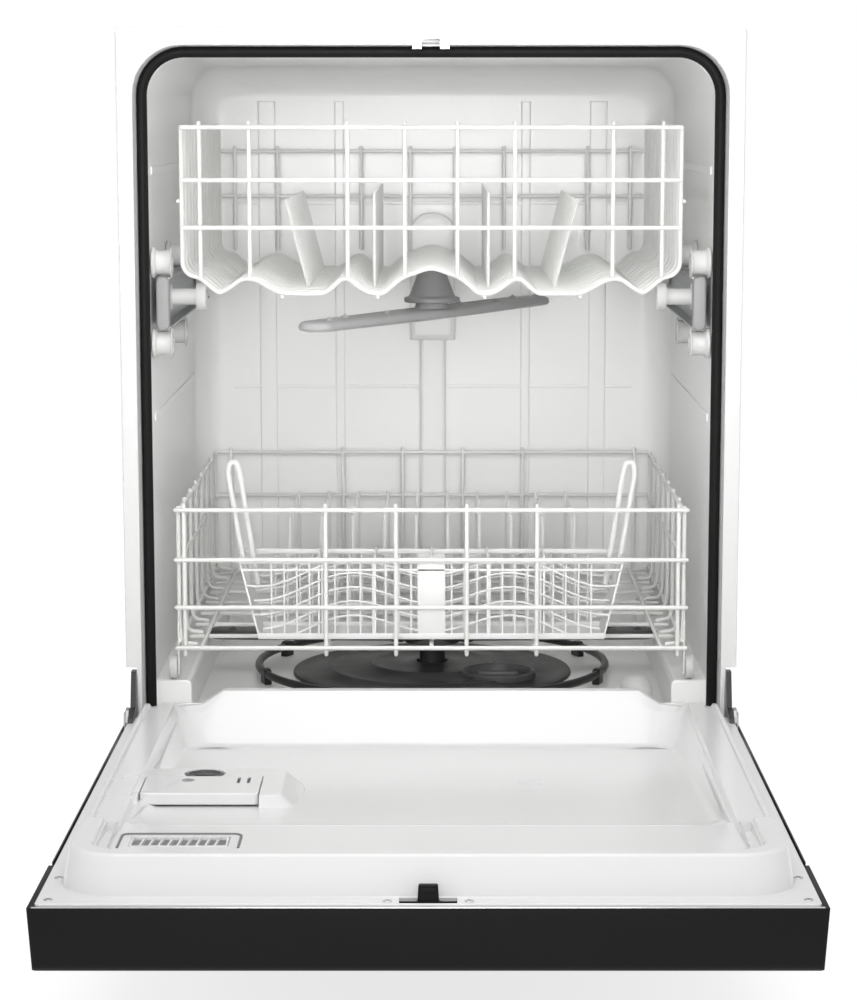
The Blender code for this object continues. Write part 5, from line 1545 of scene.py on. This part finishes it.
view = {"place": (0.00965, -2.714, 0.783), "tilt": 80.91, "lens": 100.8,
        "shiftX": -0.0125, "shiftY": 0.064, "sky": 0.60, "floorGlow": 0.76,
        "lamps": (((-1.3, -3.6, 1.3), (0, 0.1, 0.4), 1.6, 4.0, 180),
                  ((1.4, -3.7, 1.2), (0, 0.1, 0.4), 1.6, 3.0, 180),
                  ((0.0, -1.35, 0.78), (0, 0.35, 0.58), 0.7, 1.75, 52),
                  ((0.0, -0.60, 2.3), (0, -0.35, 0.2), 1.4, 17.0, 180),
                  ((0.3, 1.2, 3.0), (0, 0.2, 0.4), 2.4, 10.0, 180))}


def makeStage():
    clearSelection()
    bpy.ops.mesh.primitive_plane_add(size=30, location=(0, 0, -0.0002))
    ground = bpy.context.object
    ground.name = "studioFloor"
    paint = Paint("studioFloor")
    ground.data.materials.append(paint.set(
        Base_Color=(0.36, 0.36, 0.36, 1), Roughness=0.9, Emission_Color=(1, 1, 1, 1),
        Emission_Strength=view["floorGlow"]))
    for k, (place, target, size, power, spread) in enumerate(view["lamps"]):
        lamp = bpy.data.lights.new(f"softbox-{k}", "AREA")
        lamp.size = size
        lamp.energy = power
        lamp.spread = math.radians(spread)
        obj = bpy.data.objects.new(f"softbox-{k}", lamp)
        bpy.context.scene.collection.objects.link(obj)
        obj.location = place
        obj.visible_camera = False
        aim = Vector(target) - obj.location
        obj.rotation_euler = aim.to_track_quat("-Z", "Y").to_euler()
    world = bpy.data.worlds.new("studio")
    bpy.context.scene.world = world
    world.use_nodes = True
    tree = world.node_tree
    back = tree.nodes["Background"]
    back.inputs["Color"].default_value = (1, 1, 1, 1)
    back.inputs["Strength"].default_value = view["sky"]
    # what the lens sees past the floor is plain white paper
    paper = tree.nodes.new("ShaderNodeBackground")
    paper.inputs["Color"].default_value = (1, 1, 1, 1)
    seen = tree.nodes.new("ShaderNodeLightPath")
    mix = tree.nodes.new("ShaderNodeMixShader")
    tree.links.new(seen.outputs["Is Camera Ray"], mix.inputs[0])
    tree.links.new(back.outputs[0], mix.inputs[1])
    tree.links.new(paper.outputs[0], mix.inputs[2])
    tree.links.new(mix.outputs[0], tree.nodes["World Output"].inputs[0])
    bpy.context.scene.view_settings.view_transform = "Standard"
    eye = bpy.data.cameras.new("camera")
    eye.lens = view["lens"]
    eye.shift_x = view["shiftX"]
    eye.shift_y = view["shiftY"]
    eye.dof.use_dof = False
    camera = bpy.data.objects.new("camera", eye)
    bpy.context.scene.collection.objects.link(camera)
    x, y, z = view["place"]
    camera.location = (x, row(y), z)
    camera.rotation_euler = (math.radians(view["tilt"]), 0, 0)
    bpy.context.scene.camera = camera


makeStage()
print("stage, lights and camera set")
